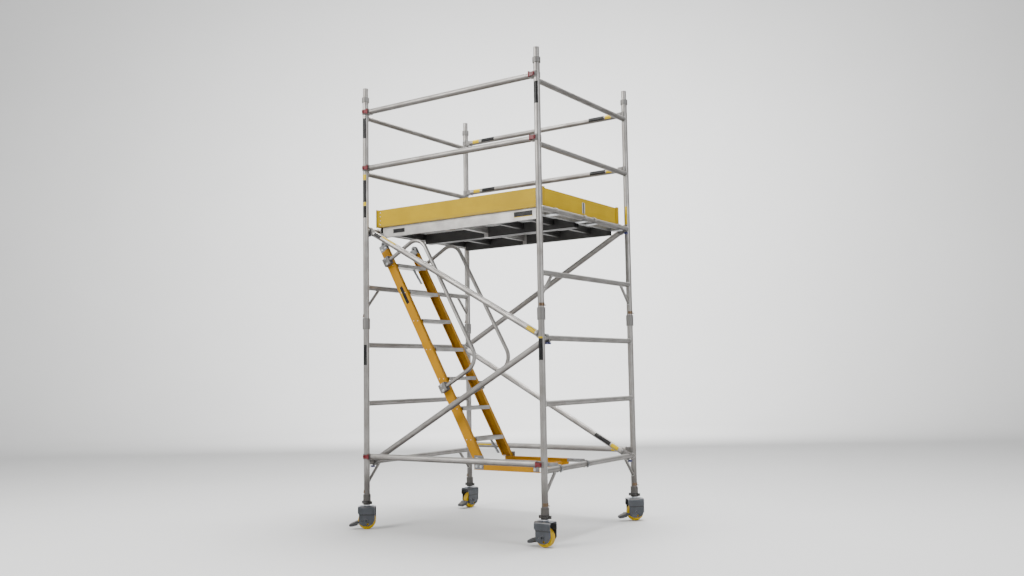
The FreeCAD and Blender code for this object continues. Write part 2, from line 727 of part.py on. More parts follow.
def handrail(label, y, row):
    """Bent tube beside a stile, standing on two clamps; its loop lies in the stair's plane."""
    body = doc.addObject("PartDesign::Body", "RailBody")
    spine = new_sketch(body, "XZ_Plane")
    near, far = "rail_offset - rail_bend", "rail_offset"
    corners = [(0, "rail_low"), (near, "rail_low"), (far, "rail_low + rail_bend"),
               (far, "rail_high - rail_bend"), (near, "rail_high"), (0, "rail_high")]
    spots = [Vector(number(u), number(v), 0) for u, v in corners]
    turn = spots[2].y - spots[1].y
    normal, rise = Vector(0, 0, 1), Vector(0, turn, 0)
    low_bend = Part.Circle(spots[1] + rise, normal, turn)
    high_bend = Part.Circle(spots[4] - rise, normal, turn)
    legs = [Part.LineSegment(spots[0], spots[1]),
            Part.ArcOfCircle(low_bend, -math.pi / 2, 0),
            Part.LineSegment(spots[2], spots[3]),
            Part.ArcOfCircle(high_bend, 0, math.pi / 2),
            Part.LineSegment(spots[4], spots[5])]
    for leg in legs:
        spine.addGeometry(leg)
    joins = ((0, 2, 1, 1), (1, 2, 2, 1), (2, 2, 3, 1), (3, 2, 4, 1))
    for join in joins:
        spine.addConstraint(Sketcher.Constraint("Tangent", *join))
    for geo, end, (u, v) in ((0, 1, corners[0]), (4, 2, corners[5])):
        pin_point(spine, geo, end, u, v)
    spine.addConstraint(Sketcher.Constraint("Horizontal", 0))
    spine.addConstraint(Sketcher.Constraint("Vertical", 2))
    spine.addConstraint(Sketcher.Constraint("Horizontal", 4))
    bend = spine.addConstraint(Sketcher.Constraint("Radius", 1, turn))
    spine.setExpression(f"Constraints[{bend}]", cells("rail_bend"))
    side = spine.addConstraint(Sketcher.Constraint("DistanceX", -1, 1, 2, 1, number("rail_offset")))
    spine.setExpression(f"Constraints[{side}]", cells("rail_offset"))
    ring = new_sketch(body, "YZ_Plane")
    for radius in ("rail_dia / 2", "rail_dia / 2 - rail_wall"):
        circle(ring, radius, 0, "rail_low")
    doc.recompute()
    pipe = body.newObject("PartDesign::AdditivePipe", "Pipe")
    pipe.Profile = ring
    pipe.Spine = spine
    body.Tip = pipe
    on_stair(body, y)
    pieces = [body]
    for height in ("rail_low", "rail_high"):
        web = "-rail_out + 0.3" if row > 0 else "rail_out - 0.3"
        limits = [web, f"{row} * (rail_dia / 2 + 8)"][::row]
        shell = slab((-32, 38), limits, (f"{height} - 36", f"{height} + 36"))
        hole = rod("x", "rail_dia / 2 + 0.1", 90, -45, 0, height)
        pieces.append(on_stair(cut(shell, hole), y))
    return node(label, *pieces)


# ---------------------------------------------------------------- castors

FORK_OUTLINE = (
    ("-fork_half", "fork_top"), ("fork_half", "fork_top"), ("fork_half", 78), (52, 44), (22, 30),
    (-26, 30), (-56, 46), (-62, 78), (-62, 126), ("-fork_half", 140),
)


PEDAL_OUTLINE = (
    (-79, 73), (-116, 61), (-142, 50), (-150, 42), (-149, 28), (-140, 22), (-114, 24), (-79, 33),
)


def profile(points, length):
    """Straight prism about the XZ plane from a closed outline."""
    body = doc.addObject("PartDesign::Body", "Profile")
    side = new_sketch(body, "XZ_Plane")
    outline(side, points)
    pad = body.newObject("PartDesign::Pad", "Pad")
    pad.Profile = side
    pad.Midplane = True
    pad.setExpression("Length", cells(length))
    body.Tip = pad
    return body


def pocket_through(body, sketch, name):
    """Cut a sketch through the whole body in both directions."""
    pocket = body.newObject("PartDesign::Pocket", name)
    pocket.Profile = sketch
    pocket.Type = "ThroughAll"
    pocket.Midplane = True
    body.Tip = pocket
    doc.recompute()


def fork_body():
    """Pressed fork: a bent plate whose outline is cut from the front and slotted for the wheel."""
    body = profile(FORK_OUTLINE, "fork_wide")
    slot = new_sketch(body, "YZ_Plane")
    wide = "(fork_wide / 2 - fork_plate)"
    narrow = f"({wide} - fork_step)"
    roof = "(fork_top - fork_crown)"
    bend = "(shoulder - 4)"
    half = [(narrow, 10), (narrow, "step_level - 2"), (wide, "step_level + 4"),
            (wide, f"{roof} - {bend}"), (f"({wide} - {bend})", roof)]
    outline(slot, half + [(f"-{u}", v) for u, v in half[::-1]])
    window = new_sketch(body, "XZ_Plane")
    circle(window, 10, 12, 45)
    doc.recompute()
    whole = body.Shape.Volume
    pocket_through(body, slot, "Slot")
    pocket_through(body, window, "Window")
    if body.Shape.Volume > 0.5 * whole:
        raise RuntimeError("the fork's slot was not cut")
    return body


def fork_trim():
    """What the press takes off the outside: two round shoulders and two stepped cheeks."""
    half, reach = "fork_wide / 2", ("-fork_half - 2", "fork_half + 2")
    long = "2 * fork_half + 4"
    trims = []
    for row in (-1, 1):
        corner = [f"{row} * ({half} + 1)", f"{row} * ({half} - shoulder)"][::-row]
        edge = slab(reach, corner, ("fork_top - shoulder", "fork_top + 1"))
        round_bar = rod("x", "shoulder", long, reach[0], corner[0] if row > 0 else corner[1],
                        "fork_top - shoulder")
        cheek = [f"{row} * ({half} + 1)", f"{row} * ({half} - fork_step)"][::-row]
        trims.append(cut(edge, round_bar))
        trims.append(slab(reach, cheek, (0, "step_level")))
    return trims


def fork(x, y, turn, label):
    """Fork with the axle bolt, a hole for the king pin and two for the pedal's pins."""
    radius = "wheel_dia / 2"
    cheek = "(fork_wide / 2 - fork_step)"
    crown = rod("z", "fork_wide / 2 - shoulder", 4, 0, 0, "fork_top - 1")
    king = rod("z", "king_dia / 2 + king_play", 20, 0, 0, "fork_top - fork_crown - 1")
    pivot = rod("y", "pedal_pin / 2 + axle_play", "fork_wide", "-pedal_pivot", "-fork_wide / 2",
                "pedal_rise")
    axle = rod("y", "axle_dia / 2", "2 * axle_end", 0, "-axle_end", radius)
    heads = [rod("y", "axle_head", 3.5, 0, f"{cheek} - 0.5", radius),
             rod("y", "axle_head", 3.5, 0, f"-{cheek} - 3", radius)]
    plate = cut(fork_body(), pivot, *fork_trim())
    whole = cut(fuse(plate, axle, *heads, crown), king)
    return node(label, place(whole, x, y, axis=(0, 0, 1), angle=turn))


def wheel(x, y, turn, label):
    """Hub and ribbed tyre turned about the axle."""
    body = doc.addObject("PartDesign::Body", "WheelBody")
    half = new_sketch(body, "YZ_Plane")
    rim, edge = "wheel_dia / 2", "wheel_wide / 2"
    bore = "axle_dia / 2 + axle_play"
    outline(half, (
        (f"-({edge}) - 8", bore), (f"{edge} + 8", bore), (f"{edge} + 8", 20), (f"{edge} - 6", 22),
        (f"{edge} - 6", 48), (edge, 52), (edge, f"{rim} - 8"), (f"{edge} - 6", f"{rim} - 1.5"),
        (10, rim), (8, f"{rim} - 3"), (6, rim), (-6, rim), (-8, f"{rim} - 3"), (-10, rim),
        (f"-({edge}) + 6", f"{rim} - 1.5"), (f"-({edge})", f"{rim} - 8"), (f"-({edge})", 52),
        (f"-({edge}) + 6", 48), (f"-({edge}) + 6", 22), (f"-({edge}) - 8", 20),
    ))
    ring = body.newObject("PartDesign::Revolution", "Ring")
    ring.Profile = half
    ring.ReferenceAxis = (half, ["H_Axis"])
    ring.Angle = 360
    body.Tip = ring
    return node(label, place(body, x, y, rim, axis=(0, 0, 1), angle=turn))


def leg(x, y, label):
    """Hollow stem, neck and king pin with the head that holds the fork."""
    foot = "(fork_top + 3.3)"
    neck_high = f"(foot_height - joint_gap - nut_high - 0.3 - {foot})"
    solid = fuse(
        rod("z", "stem_dia / 2", "stem_long", 0, 0, foot),
        rod("z", "neck_dia / 2", neck_high, 0, 0, foot),
        rod("z", "king_dia / 2", 22, 0, 0, f"{foot} - 22"),
        rod("z", 16, 6, 0, 0, f"{foot} - 3.3 - fork_crown - 6.3"),
    )
    bore = rod("z", "stem_bore / 2", "stem_long - 20", 0, 0, f"{foot} + 30")
    return node(label, place(cut(solid, bore), x, y))


def nut(x, y, label):
    """Adjusting nut with two wings."""
    top = "(foot_height - joint_gap)"
    low = f"({top} - nut_high)"
    solid = fuse(
        rod("z", "nut_dia / 2", "nut_high", 0, 0, low),
        block(("wing_span", 16, "nut_high - 10"), (0, 0, f"{top} - nut_high / 2")),
        rod("z", "nut_dia / 2 + 4", 8, 0, 0, f"{top} - 22"),
    )
    bore = rod("z", "stem_dia / 2 + stem_play", "nut_high + 2", 0, 0, f"{low} - 1")
    return node(label, place(cut(solid, bore), x, y))


def pedal(x, y, turn, label):
    """Brake pedal: a bill on two arms, each on a headed pin through a cheek of the fork."""
    cheek = "(fork_wide / 2 - fork_step)"
    inner = "(pedal_wide / 2 - pedal_arm)"
    pieces = [profile(PEDAL_OUTLINE, "pedal_wide")]
    for row in (-1, 1):
        side = [f"{row} * pedal_wide / 2", f"{row} * {inner}"][::-row]
        pieces.append(slab((-92, "-pedal_pivot"), side, (50, 70)))
        pieces.append(rod("y", 14, "pedal_arm", "-pedal_pivot", side[0], "pedal_rise"))
        shank = [f"{row} * {inner}", f"{row} * ({cheek} + 1)"][::row]
        length = f"{cheek} + 1 - {inner}"
        pieces.append(rod("y", "pedal_pin / 2", length, "-pedal_pivot", shank[0], "pedal_rise"))
        head = f"{cheek} + 0.3" if row > 0 else f"-{cheek} - 3.3"
        pieces.append(rod("y", 7, 3, "-pedal_pivot", head, "pedal_rise"))
    return node(label, place(fuse(*pieces), x, y, axis=(0, 0, 1), angle=turn))


def castors():
    for row, name in ((-1, "front"), (1, "rear")):
        for side, end in ((-1, "left"), (1, "right")):
            x, y = post_x(side), post_y(row)
            corner = f"{name}_{end}"
            turn = f"turn_{corner}"
            leg(x, y, f"adjustable_leg_{corner}")
            nut(x, y, f"adjusting_nut_{corner}")
            fork(x, y, turn, f"castor_fork_{corner}")
            wheel(x, y, turn, f"castor_wheel_{corner}")
            pedal(x, y, turn, f"brake_pedal_{corner}")


# ---------------------------------------------------------------- build, check and write

frames()
braces()
platforms()
toe_boards()
stair()
castors()
doc.recompute()

for thing in doc.Objects:
    if "Invalid" in thing.State or "Error" in thing.State:
        raise RuntimeError(f"{thing.Label} failed: {thing.State}")
for thing in NODES:
    if thing.Shape.isNull() or not thing.Shape.isValid():
        raise RuntimeError(f"{thing.Label} has no valid shape")

os.makedirs("parts", exist_ok=True)
for thing in NODES:
    thing.Shape.exportStep(f"parts/{thing.Label}.step")
print(len(NODES), "parts written")
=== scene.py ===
"""Mobile tower scaffold: finishes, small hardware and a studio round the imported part.

Metres, in the part's own frame: the origin is on the floor midway between the four posts, X runs
along the tower, Y from its front to its rear, and Z is up.
"""
import math

import bmesh
import bpy
import numpy as np
from mathutils import Matrix, Vector


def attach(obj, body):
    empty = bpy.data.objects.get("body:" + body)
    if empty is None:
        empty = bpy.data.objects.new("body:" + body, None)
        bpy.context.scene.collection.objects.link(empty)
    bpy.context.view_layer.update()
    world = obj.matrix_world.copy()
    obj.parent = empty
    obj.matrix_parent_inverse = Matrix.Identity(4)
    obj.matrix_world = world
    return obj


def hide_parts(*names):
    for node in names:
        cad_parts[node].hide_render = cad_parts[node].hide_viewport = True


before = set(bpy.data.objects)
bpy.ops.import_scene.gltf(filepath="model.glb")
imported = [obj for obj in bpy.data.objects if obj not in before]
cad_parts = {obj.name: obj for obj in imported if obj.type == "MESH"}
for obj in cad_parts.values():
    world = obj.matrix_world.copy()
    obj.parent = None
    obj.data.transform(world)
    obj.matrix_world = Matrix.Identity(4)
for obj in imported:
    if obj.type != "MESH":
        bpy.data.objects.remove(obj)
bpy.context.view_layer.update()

CORNERS = {"front_left": (-1, -1), "front_right": (1, -1), "rear_left": (-1, 1), "rear_right": (1, 1)}
POST_X, POST_Y = 0.9, 0.725
POST_R, RUNG_R, KNEE_R, BRACE_R = 0.0254, 0.02225, 0.0125, 0.025
SLEEVE_R = 0.034                      # a little outside the sleeves and collars
RUNG_PITCH = 0.5
RUNGS = 0.56 + RUNG_PITCH * np.arange(7)
KNEE_RUNGS = (0.56, 2.06)
KNEE_REACH, KNEE_DROP = 0.170, 0.185
BRACES = (0.61, 3.106, 3.606)
CLAW_START = 0.836                    # the claws lie further out than this along X
DIAGONALS = {                         # y, height at the left frame, height at the right frame
    "front_upper_diagonal": (-0.68, 2.56, 1.56),
    "rear_upper_diagonal": (0.68, 1.56, 2.56),
    "front_lower_diagonal": (-0.64, 0.56, 1.56),
    "rear_lower_diagonal": (0.64, 1.56, 0.56),
}
LEAN = math.radians(29.1)
STAIR_FOOT = np.array([0.134, 0.0, 0.602])
UP_SLOPE = np.array([-math.sin(LEAN), 0.0, math.cos(LEAN)])
OFF_SLOPE = np.array([math.cos(LEAN), 0.0, math.sin(LEAN)])
TREAD_LEVELS = 0.76 + 0.25 * np.arange(7)
TREAD_Y = (-0.4947, -0.1203)
WHEEL_R = 0.075
SWIVEL = {"front_left": 35, "front_right": 0, "rear_left": 85, "rear_right": 45}   # degrees round Z
X_AXIS, Y_AXIS, Z_AXIS = np.eye(3)


# ---------------------------------------------------------------- surfaces

def unit(vector):
    return np.asarray(vector, float) / np.linalg.norm(vector)


def side_axes(axis):
    """Two unit vectors square to the axis and to each other."""
    helper = X_AXIS if abs(axis[2]) > 0.9 else Z_AXIS
    first = unit(np.cross(helper, axis))
    return first, np.cross(axis, first)


def circle_round(axis, steps):
    """Angles once round an axis, and the unit vector at each: first * cos t + second * sin t."""
    first, second = side_axes(axis)
    angle = np.linspace(0, 2 * np.pi, steps + 1)
    return angle, np.cos(angle)[:, None] * first + np.sin(angle)[:, None] * second


def turned(centre, axis, profile, steps=32):
    """Turned shape: centre + axis * along + (first * cos t + second * sin t) * radius."""
    axis = unit(axis)
    along, radius = np.asarray(profile, float).T
    ring = circle_round(axis, steps)[1]
    return np.asarray(centre, float) + along[:, None, None] * axis + radius[:, None, None] * ring


def hexagon(centre, axis, across, height, steps=36):
    """Hexagon head: the radius is the lesser of the flats' across / 2 / cos(t within a side) and a
    chamfer circle at the top, and it falls to nothing at both ends."""
    axis = unit(axis)
    angle, ring = circle_round(axis, steps)
    flats = across / 2 / np.cos((angle + np.pi / 6) % (np.pi / 3) - np.pi / 6)
    limit = np.array([0.0, across, across, across * 0.51, 0.0])
    along = np.array([0.0, 0.0, 0.85, 1.0, 1.0]) * height
    radius = np.minimum(flats[None, :], limit[:, None])
    return np.asarray(centre, float) + along[:, None, None] * axis + radius[:, :, None] * ring


def dome(centre, axis, radius, height, steps=16):
    """Rivet head: a flattened half ball, radius * cos a at the height * sin a."""
    a = np.linspace(0, np.pi / 2, 5)
    profile = np.c_[np.r_[-0.2 * height, height * np.sin(a)], np.r_[0.0, radius * np.cos(a)]]
    return turned(centre, axis, profile, steps)


def rounded_outline(half_u, half_v, corner, inset, steps=5):
    """Rounded rectangle: each corner's centre plus (corner - inset) * (cos, sin)."""
    angle = np.linspace(0, np.pi / 2, steps)
    turn = angle[None, :] + np.arange(4)[:, None] * np.pi / 2
    sign_u = np.array([1, -1, -1, 1])[:, None]
    sign_v = np.array([1, 1, -1, -1])[:, None]
    u = sign_u * (half_u - corner) + (corner - inset) * np.cos(turn)
    v = sign_v * (half_v - corner) + (corner - inset) * np.sin(turn)
    outline = np.stack([u.ravel(), v.ravel()], axis=1)
    return np.vstack([outline, outline[:1]])


def superellipse(power, steps):
    """Closed rounded square: the sizes of cos t and sin t to a power, with their signs."""
    turn = np.linspace(0, 2 * np.pi, steps + 1)
    ring = np.c_[np.cos(turn), np.sin(turn)]
    return np.abs(ring) ** power * np.sign(ring)


def tablet(centre, u, v, half_u, half_v, thick, corner=0.003, edge=0.0006):
    """Plate with rounded corners and an eased rim: outlines stacked along u x v."""
    u, v = unit(u), unit(v)
    rows = [(edge, 0.0), (0.0, edge), (0.0, thick - edge), (edge, thick)]
    rings = []
    for inset, level in rows:
        rings.append(np.c_[rounded_outline(half_u, half_v, corner, inset), np.full(21, level)])
    foot, head = np.zeros((21, 3)), np.zeros((21, 3))
    head[:, 2] = thick
    local = np.stack([foot, *rings, head])
    out = np.cross(u, v)
    return np.asarray(centre, float) + local[..., :1] * u + local[..., 1:2] * v + local[..., 2:] * out


def wrapped(centre, axis, facing, radius, width, length, thick=0.00035, steps=12):
    """Film round a tube: the arc radius * angle across it, straight along it, closed at its rim."""
    axis = unit(axis)
    facing = unit(np.asarray(facing, float) - np.dot(facing, axis) * axis)
    across = np.cross(axis, facing)
    sweep = np.linspace(-width / 2, width / 2, steps) / radius
    angle = np.r_[sweep, sweep[::-1], sweep[:1]]
    skin = np.r_[np.ones(steps), np.zeros(steps), 1.0]
    along = np.array([-1, -1, 1, 1]) * length / 2
    lift = np.array([0.0, 1.0, 1.0, 0.0])
    level = radius + thick * (0.25 + lift[:, None] * skin[None, :])
    ring = np.cos(angle)[:, None] * facing + np.sin(angle)[:, None] * across
    return np.asarray(centre, float) + along[:, None, None] * axis + level[..., None] * ring


def weld(origin, direction, radius, anchor, axis, host_radius, bead=0.0026, ripples=22):
    """Weld bead where a tube leaves a round host: its path is where each line of the tube's wall
    meets the host's wall, and its thickness swells and falls with the ripples."""
    direction, axis = unit(direction), unit(axis)
    angle, out = circle_round(direction, 4 * ripples)
    wall = np.asarray(origin, float) + radius * out
    offset = wall - anchor
    offset = offset - (offset @ axis)[:, None] * axis
    travel = direction - (direction @ axis) * axis
    half = offset @ travel / (travel @ travel)
    rest = ((offset ** 2).sum(1) - host_radius ** 2) / (travel @ travel)
    path = wall + (np.sqrt(half ** 2 - rest) - half)[:, None] * direction
    tangent = np.roll(path[:-1], -1, axis=0) - np.roll(path[:-1], 1, axis=0)
    tangent = np.vstack([tangent, tangent[:1]])
    tangent /= np.linalg.norm(tangent, axis=1)[:, None]
    other = np.cross(tangent, out)
    around = np.linspace(0, 2 * np.pi, 7)
    size = bead * (1 + 0.16 * np.cos(ripples * angle))[:, None, None]
    ring = np.cos(around)[None, :, None] * out[:, None, :] + np.sin(around)[None, :, None] * other[:, None, :]
    return path[:, None, :] + size * ring


def on_stair(u, y, s):
    """Point of the stair: u square to the slope, y, and s up the slope."""
    return STAIR_FOOT + u * OFF_SLOPE + np.array([0.0, y, 0.0]) + s * UP_SLOPE


def skinned(name, grids, material, closed=True):
    """Smooth object of several grids of points, with their seams and poles merged."""
    points, faces, base = [], [], 0
    for grid in grids:
        rows, columns = grid.shape[:2]
        corner = (np.arange(rows - 1)[:, None] * columns + np.arange(columns - 1)[None, :]).ravel() + base
        faces.append(np.stack([corner, corner + 1, corner + columns + 1, corner + columns], axis=1))
        points.append(grid.reshape(-1, 3))
        base += rows * columns
    mesh = bpy.data.meshes.new(name)
    mesh.from_pydata(np.vstack(points).tolist(), [], np.vstack(faces).tolist())
    work = bmesh.new()
    work.from_mesh(mesh)
    bmesh.ops.remove_doubles(work, verts=work.verts, dist=2e-6)
    bmesh.ops.dissolve_degenerate(work, edges=work.edges, dist=1e-6)
    if closed:
        bmesh.ops.recalc_face_normals(work, faces=work.faces)
    work.to_mesh(mesh)
    work.free()
    mesh.shade_smooth()
    mesh.materials.append(material)
    made = bpy.data.objects.new(name, mesh)
    bpy.context.scene.collection.objects.link(made)
    return made


def piece(name, grids, body, material, sharp=35):
    """Closed piece that rides a body, with creases sharper than so many degrees kept."""
    made = skinned(name, grids, material)
    made.data.set_sharp_from_angle(angle=math.radians(sharp))
    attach(made, body)
    return made


# ---------------------------------------------------------------- material nodes

class Nodes:
    """Adds nodes to a tree: a socket given as a value is linked, anything else is set."""

    def __init__(self, tree):
        self.tree = tree

    def feed(self, socket, value):
        if isinstance(value, bpy.types.NodeSocket):
            self.tree.links.new(value, socket)
        else:
            socket.default_value = value

    def add(self, kind, inputs=(), **settings):
        node = self.tree.nodes.new(kind)
        for name, value in settings.items():
            setattr(node, name, value)
        for key, value in dict(inputs).items():
            self.feed(node.inputs[key], value)
        return node

    def math(self, operation, *values, clamp=False):
        return self.add("ShaderNodeMath", dict(enumerate(values)), operation=operation,
                        use_clamp=clamp).outputs[0]

    def times(self, first, second):
        return self.math("MULTIPLY", first, second)

    def minus(self, first, second):
        return self.math("SUBTRACT", first, second)

    def absolute(self, value):
        return self.math("ABSOLUTE", value)

    def vector(self, operation, first, second):
        return self.add("ShaderNodeVectorMath", {0: first, 1: second}, operation=operation).outputs

    def dot(self, first, second):
        return self.vector("DOT_PRODUCT", first, second)["Value"]

    def step(self, value, low, high, to_low=0.0, to_high=1.0):
        """Smooth change from to_low to to_high as the value goes from low to high."""
        inputs = {"Value": value, "From Min": low, "From Max": high, "To Min": to_low, "To Max": to_high}
        return self.add("ShaderNodeMapRange", inputs, interpolation_type="SMOOTHSTEP").outputs["Result"]

    def mix(self, factor, first, second):
        """Colour between first and second, each a socket or red, green and blue."""
        node = self.add("ShaderNodeMix", data_type="RGBA")
        for index, value in zip((0, 6, 7), (factor, first, second)):
            self.feed(node.inputs[index], (*value, 1.0) if isinstance(value, tuple) else value)
        return node.outputs[2]

    def tint(self, colour, mask, amount, other):
        """The colour, taken by amount towards the other where the mask is full."""
        return self.mix(self.times(mask, amount), colour, other)

    def layers(self, colour, *layers):
        """The colour under several tints, each a mask, an amount and a colour."""
        for layer in layers:
            colour = self.tint(colour, *layer)
        return colour

    def blend(self, factor, first, second):
        """Number between first and second."""
        return self.math("MULTIPLY_ADD", factor, self.minus(second, first), first)

    def noise(self, vector, scale, detail=3.0, roughness=0.55):
        inputs = {"Vector": vector, "Scale": scale, "Detail": detail, "Roughness": roughness}
        return self.add("ShaderNodeTexNoise", inputs).outputs["Fac"]

    def split(self, vector):
        return self.add("ShaderNodeSeparateXYZ", {0: vector}).outputs

    def facing_up(self):
        """How far the face's normal points up."""
        return self.split(self.add("ShaderNodeNewGeometry").outputs["Normal"])["Z"]

    def join(self, x, y, z):
        return self.add("ShaderNodeCombineXYZ", {0: x, 1: y, 2: z}).outputs[0]

    def group(self, tree, **inputs):
        node = self.add("ShaderNodeGroup", node_tree=tree)
        for label, value in inputs.items():
            self.feed(node.inputs[label], value)
        return node.outputs


def new_group(name, inputs, outputs):
    """Empty shader group with named sockets: inputs are (name, kind, value), outputs (name, kind)."""
    tree = bpy.data.node_groups.new(name, "ShaderNodeTree")
    for label, kind, value in inputs:
        socket = tree.interface.new_socket(label, in_out="INPUT", socket_type="NodeSocket" + kind)
        if value is not None:
            socket.default_value = value
    for label, kind in outputs:
        tree.interface.new_socket(label, in_out="OUTPUT", socket_type="NodeSocket" + kind)
    source = tree.nodes.new("NodeGroupInput").outputs
    sink = tree.nodes.new("NodeGroupOutput").inputs
    return tree, Nodes(tree), source, sink


def ribs_group():
    """Ribs along an extruded tube: the sine of the angle round it times the count."""
    tree, nodes, given, result = new_group(
        "lengthwise_ribs", [("Angle", "Float", 0.0), ("Count", "Float", 24.0)],
        [("Height", "Float"), ("Groove", "Float")])
    wave = nodes.math("SINE", nodes.times(given["Angle"], given["Count"]))
    nodes.feed(result["Height"], nodes.step(wave, -0.9, 0.2))
    nodes.feed(result["Groove"], nodes.step(wave, -0.5, -0.95))
    return tree


def streaks_group():
    """Drawing marks: noise that is fine across the metal and long along it."""
    tree, nodes, given, result = new_group(
        "drawing_streaks", [("Across", "Float", 0.0), ("Along", "Float", 0.0), ("Fineness", "Float", 500.0)],
        [("Mask", "Float"), ("Height", "Float")])
    spot = nodes.join(nodes.times(given["Across"], given["Fineness"]),
                      nodes.times(given["Along"], 3.0), 0.0)
    streak = nodes.noise(spot, 1.0, 4.0, 0.6)
    nodes.feed(result["Mask"], nodes.step(streak, 0.35, 0.68))
    nodes.feed(result["Height"], streak)
    return tree


def weather_group():
    """Weather: wide blotches, fine specks and the darker smears of handling."""
    tree, nodes, given, result = new_group(
        "weather", [("Vector", "Vector", None), ("Scale", "Float", 6.0)],
        [("Blotch", "Float"), ("Speck", "Float"), ("Smear", "Float")])
    nodes.feed(result["Blotch"], nodes.step(nodes.noise(given["Vector"], given["Scale"], 4.0), 0.32, 0.7))
    fine = nodes.noise(given["Vector"], nodes.times(given["Scale"], 34.0), 2.0, 0.7)
    nodes.feed(result["Speck"], nodes.step(fine, 0.62, 0.74))
    drawn = nodes.vector("MULTIPLY", given["Vector"], (2.4, 1.0, 0.5))["Vector"]
    smear = nodes.noise(drawn, nodes.times(given["Scale"], 3.0), 5.0, 0.68)
    nodes.feed(result["Smear"], nodes.step(smear, 0.56, 0.72))
    return tree


def wear_group():
    """Wear along edges: where a rounded normal leaves the true one, broken up by noise."""
    tree, nodes, given, result = new_group(
        "edge_wear", [("Vector", "Vector", None), ("Width", "Float", 0.0015)], [("Mask", "Float")])
    rounded = nodes.add("ShaderNodeBevel", {"Radius": given["Width"]}, samples=4).outputs[0]
    true = nodes.add("ShaderNodeNewGeometry").outputs["Normal"]
    bend = nodes.minus(1.0, nodes.dot(rounded, true))
    broken = nodes.noise(given["Vector"], 160.0, 4.0, 0.7)
    nodes.feed(result["Mask"], nodes.times(nodes.step(bend, 0.01, 0.12),
                                          nodes.step(broken, 0.42, 0.6)))
    return tree


def dust_group():
    """Dust that settles on faces turned up, thicker in patches."""
    tree, nodes, given, result = new_group(
        "settled_dust", [("Vector", "Vector", None), ("Amount", "Float", 0.5)], [("Mask", "Float")])
    up = nodes.facing_up()
    patch = nodes.step(nodes.noise(given["Vector"], 22.0, 5.0, 0.65), 0.3, 0.75)
    cover = nodes.times(nodes.step(up, 0.25, 0.95), patch)
    nodes.feed(result["Mask"], nodes.times(cover, given["Amount"]))
    return tree


def grain_group():
    """Skin of a casting or of sprayed paint: two sizes of rounded bumps."""
    tree, nodes, given, result = new_group(
        "fine_grain", [("Vector", "Vector", None), ("Scale", "Float", 400.0)], [("Height", "Float")])
    coarse = nodes.noise(given["Vector"], given["Scale"], 2.0, 0.5)
    fine = nodes.noise(given["Vector"], nodes.times(given["Scale"], 3.0), 1.0, 0.5)
    nodes.feed(result["Height"], nodes.math("MULTIPLY_ADD", fine, 0.4, coarse))
    return tree


RIBS, STREAKS, WEATHER = ribs_group(), streaks_group(), weather_group()
WEAR, DUST, GRAIN = wear_group(), dust_group(), grain_group()
DUST_COLOUR = (0.34, 0.30, 0.25)


class Skin(Nodes):
    """Nodes of a Principled material, which read the place on the piece."""

    def __init__(self, name, metallic, **constants):
        self.material = bpy.data.materials.new(name)
        self.material.use_nodes = True
        super().__init__(self.material.node_tree)
        self.shader = self.tree.nodes["Principled BSDF"]
        self.shader.inputs["Metallic"].default_value = metallic
        for label, value in constants.items():
            self.shader.inputs[label.replace("_", " ")].default_value = value
        self.place = self.add("ShaderNodeTexCoord").outputs["Object"]

    def weather(self, scale):
        return self.group(WEATHER, Vector=self.place, Scale=scale)

    def wear(self, width):
        return self.group(WEAR, Vector=self.place, Width=width)["Mask"]

    def dust(self, amount):
        return self.group(DUST, Vector=self.place, Amount=amount)["Mask"]

    def grain(self, scale):
        return self.group(GRAIN, Vector=self.place, Scale=scale)["Height"]

    def finish(self, colour, roughness, height, distance):
        """The material, with its colour, its roughness and a bump of height times distance."""
        bump = self.add("ShaderNodeBump", {"Height": height, "Distance": distance, "Strength": 1.0})
        for label, value in (("Base Color", colour), ("Roughness", roughness), ("Normal", bump.outputs[0])):
            self.feed(self.shader.inputs[label], value)
        return self.material


def scaled(colour, factor):
    return tuple(factor * value for value in colour)


def extruded(name, coordinates, ribs=24.0):
    """Extruded aluminium tube with cast ends: coordinates gives the angle round it, the distance
    along it and how far a point belongs to a casting."""
    nodes = Skin(name, 0.92)
    angle, along, cast = coordinates(nodes)
    rib = nodes.group(RIBS, Angle=angle, Count=ribs)
    streak = nodes.group(STREAKS, Across=angle, Along=along, Fineness=14.0)
    weather = nodes.weather(5.0)
    grain = nodes.grain(420.0)
    dust = nodes.dust(0.35)
    colour = nodes.layers(
        nodes.mix(weather["Blotch"], (0.29, 0.275, 0.26), (0.42, 0.405, 0.39)),
        (streak["Mask"], 0.35, (0.20, 0.19, 0.18)),
        (rib["Groove"], 0.35, (0.09, 0.085, 0.08)),
        (weather["Smear"], 0.3, (0.15, 0.12, 0.10)),
    )
    # Painted shade and painted light: faces turned down are taken towards dark grey and faces turned up
    # towards pale grey, as light from above falls on them.
    facing = nodes.facing_up()
    colour = nodes.mix(nodes.step(facing, 0.05, -0.75, 0.0, 0.72), colour, (0.085, 0.078, 0.073))
    colour = nodes.mix(nodes.step(facing, 0.35, 0.9, 0.0, 0.45), colour, (0.66, 0.65, 0.63))
    colour = nodes.tint(colour, cast, 0.85, (0.19, 0.185, 0.18))
    # Darker towards the bottom: below 0.6 m the colour is taken towards near-black, most of the way below
    # 0.34 m.
    darker_low = nodes.step(nodes.split(nodes.place)["Z"], 0.60, 0.34, 0.0, 0.72)
    colour = nodes.mix(darker_low, colour, (0.075, 0.068, 0.063))
    colour = nodes.mix(dust, colour, DUST_COLOUR)
    rough = nodes.blend(weather["Blotch"], 0.44, 0.33)
    rough = nodes.math("MULTIPLY_ADD", streak["Mask"], 0.10, rough)
    rough = nodes.math("MULTIPLY_ADD", dust, 0.4, rough)
    rough = nodes.blend(cast, rough, 0.58)
    tube = nodes.math("MULTIPLY_ADD", streak["Height"], 0.25, rib["Height"])
    return nodes.finish(colour, rough, nodes.blend(cast, tube, grain), 0.00028)


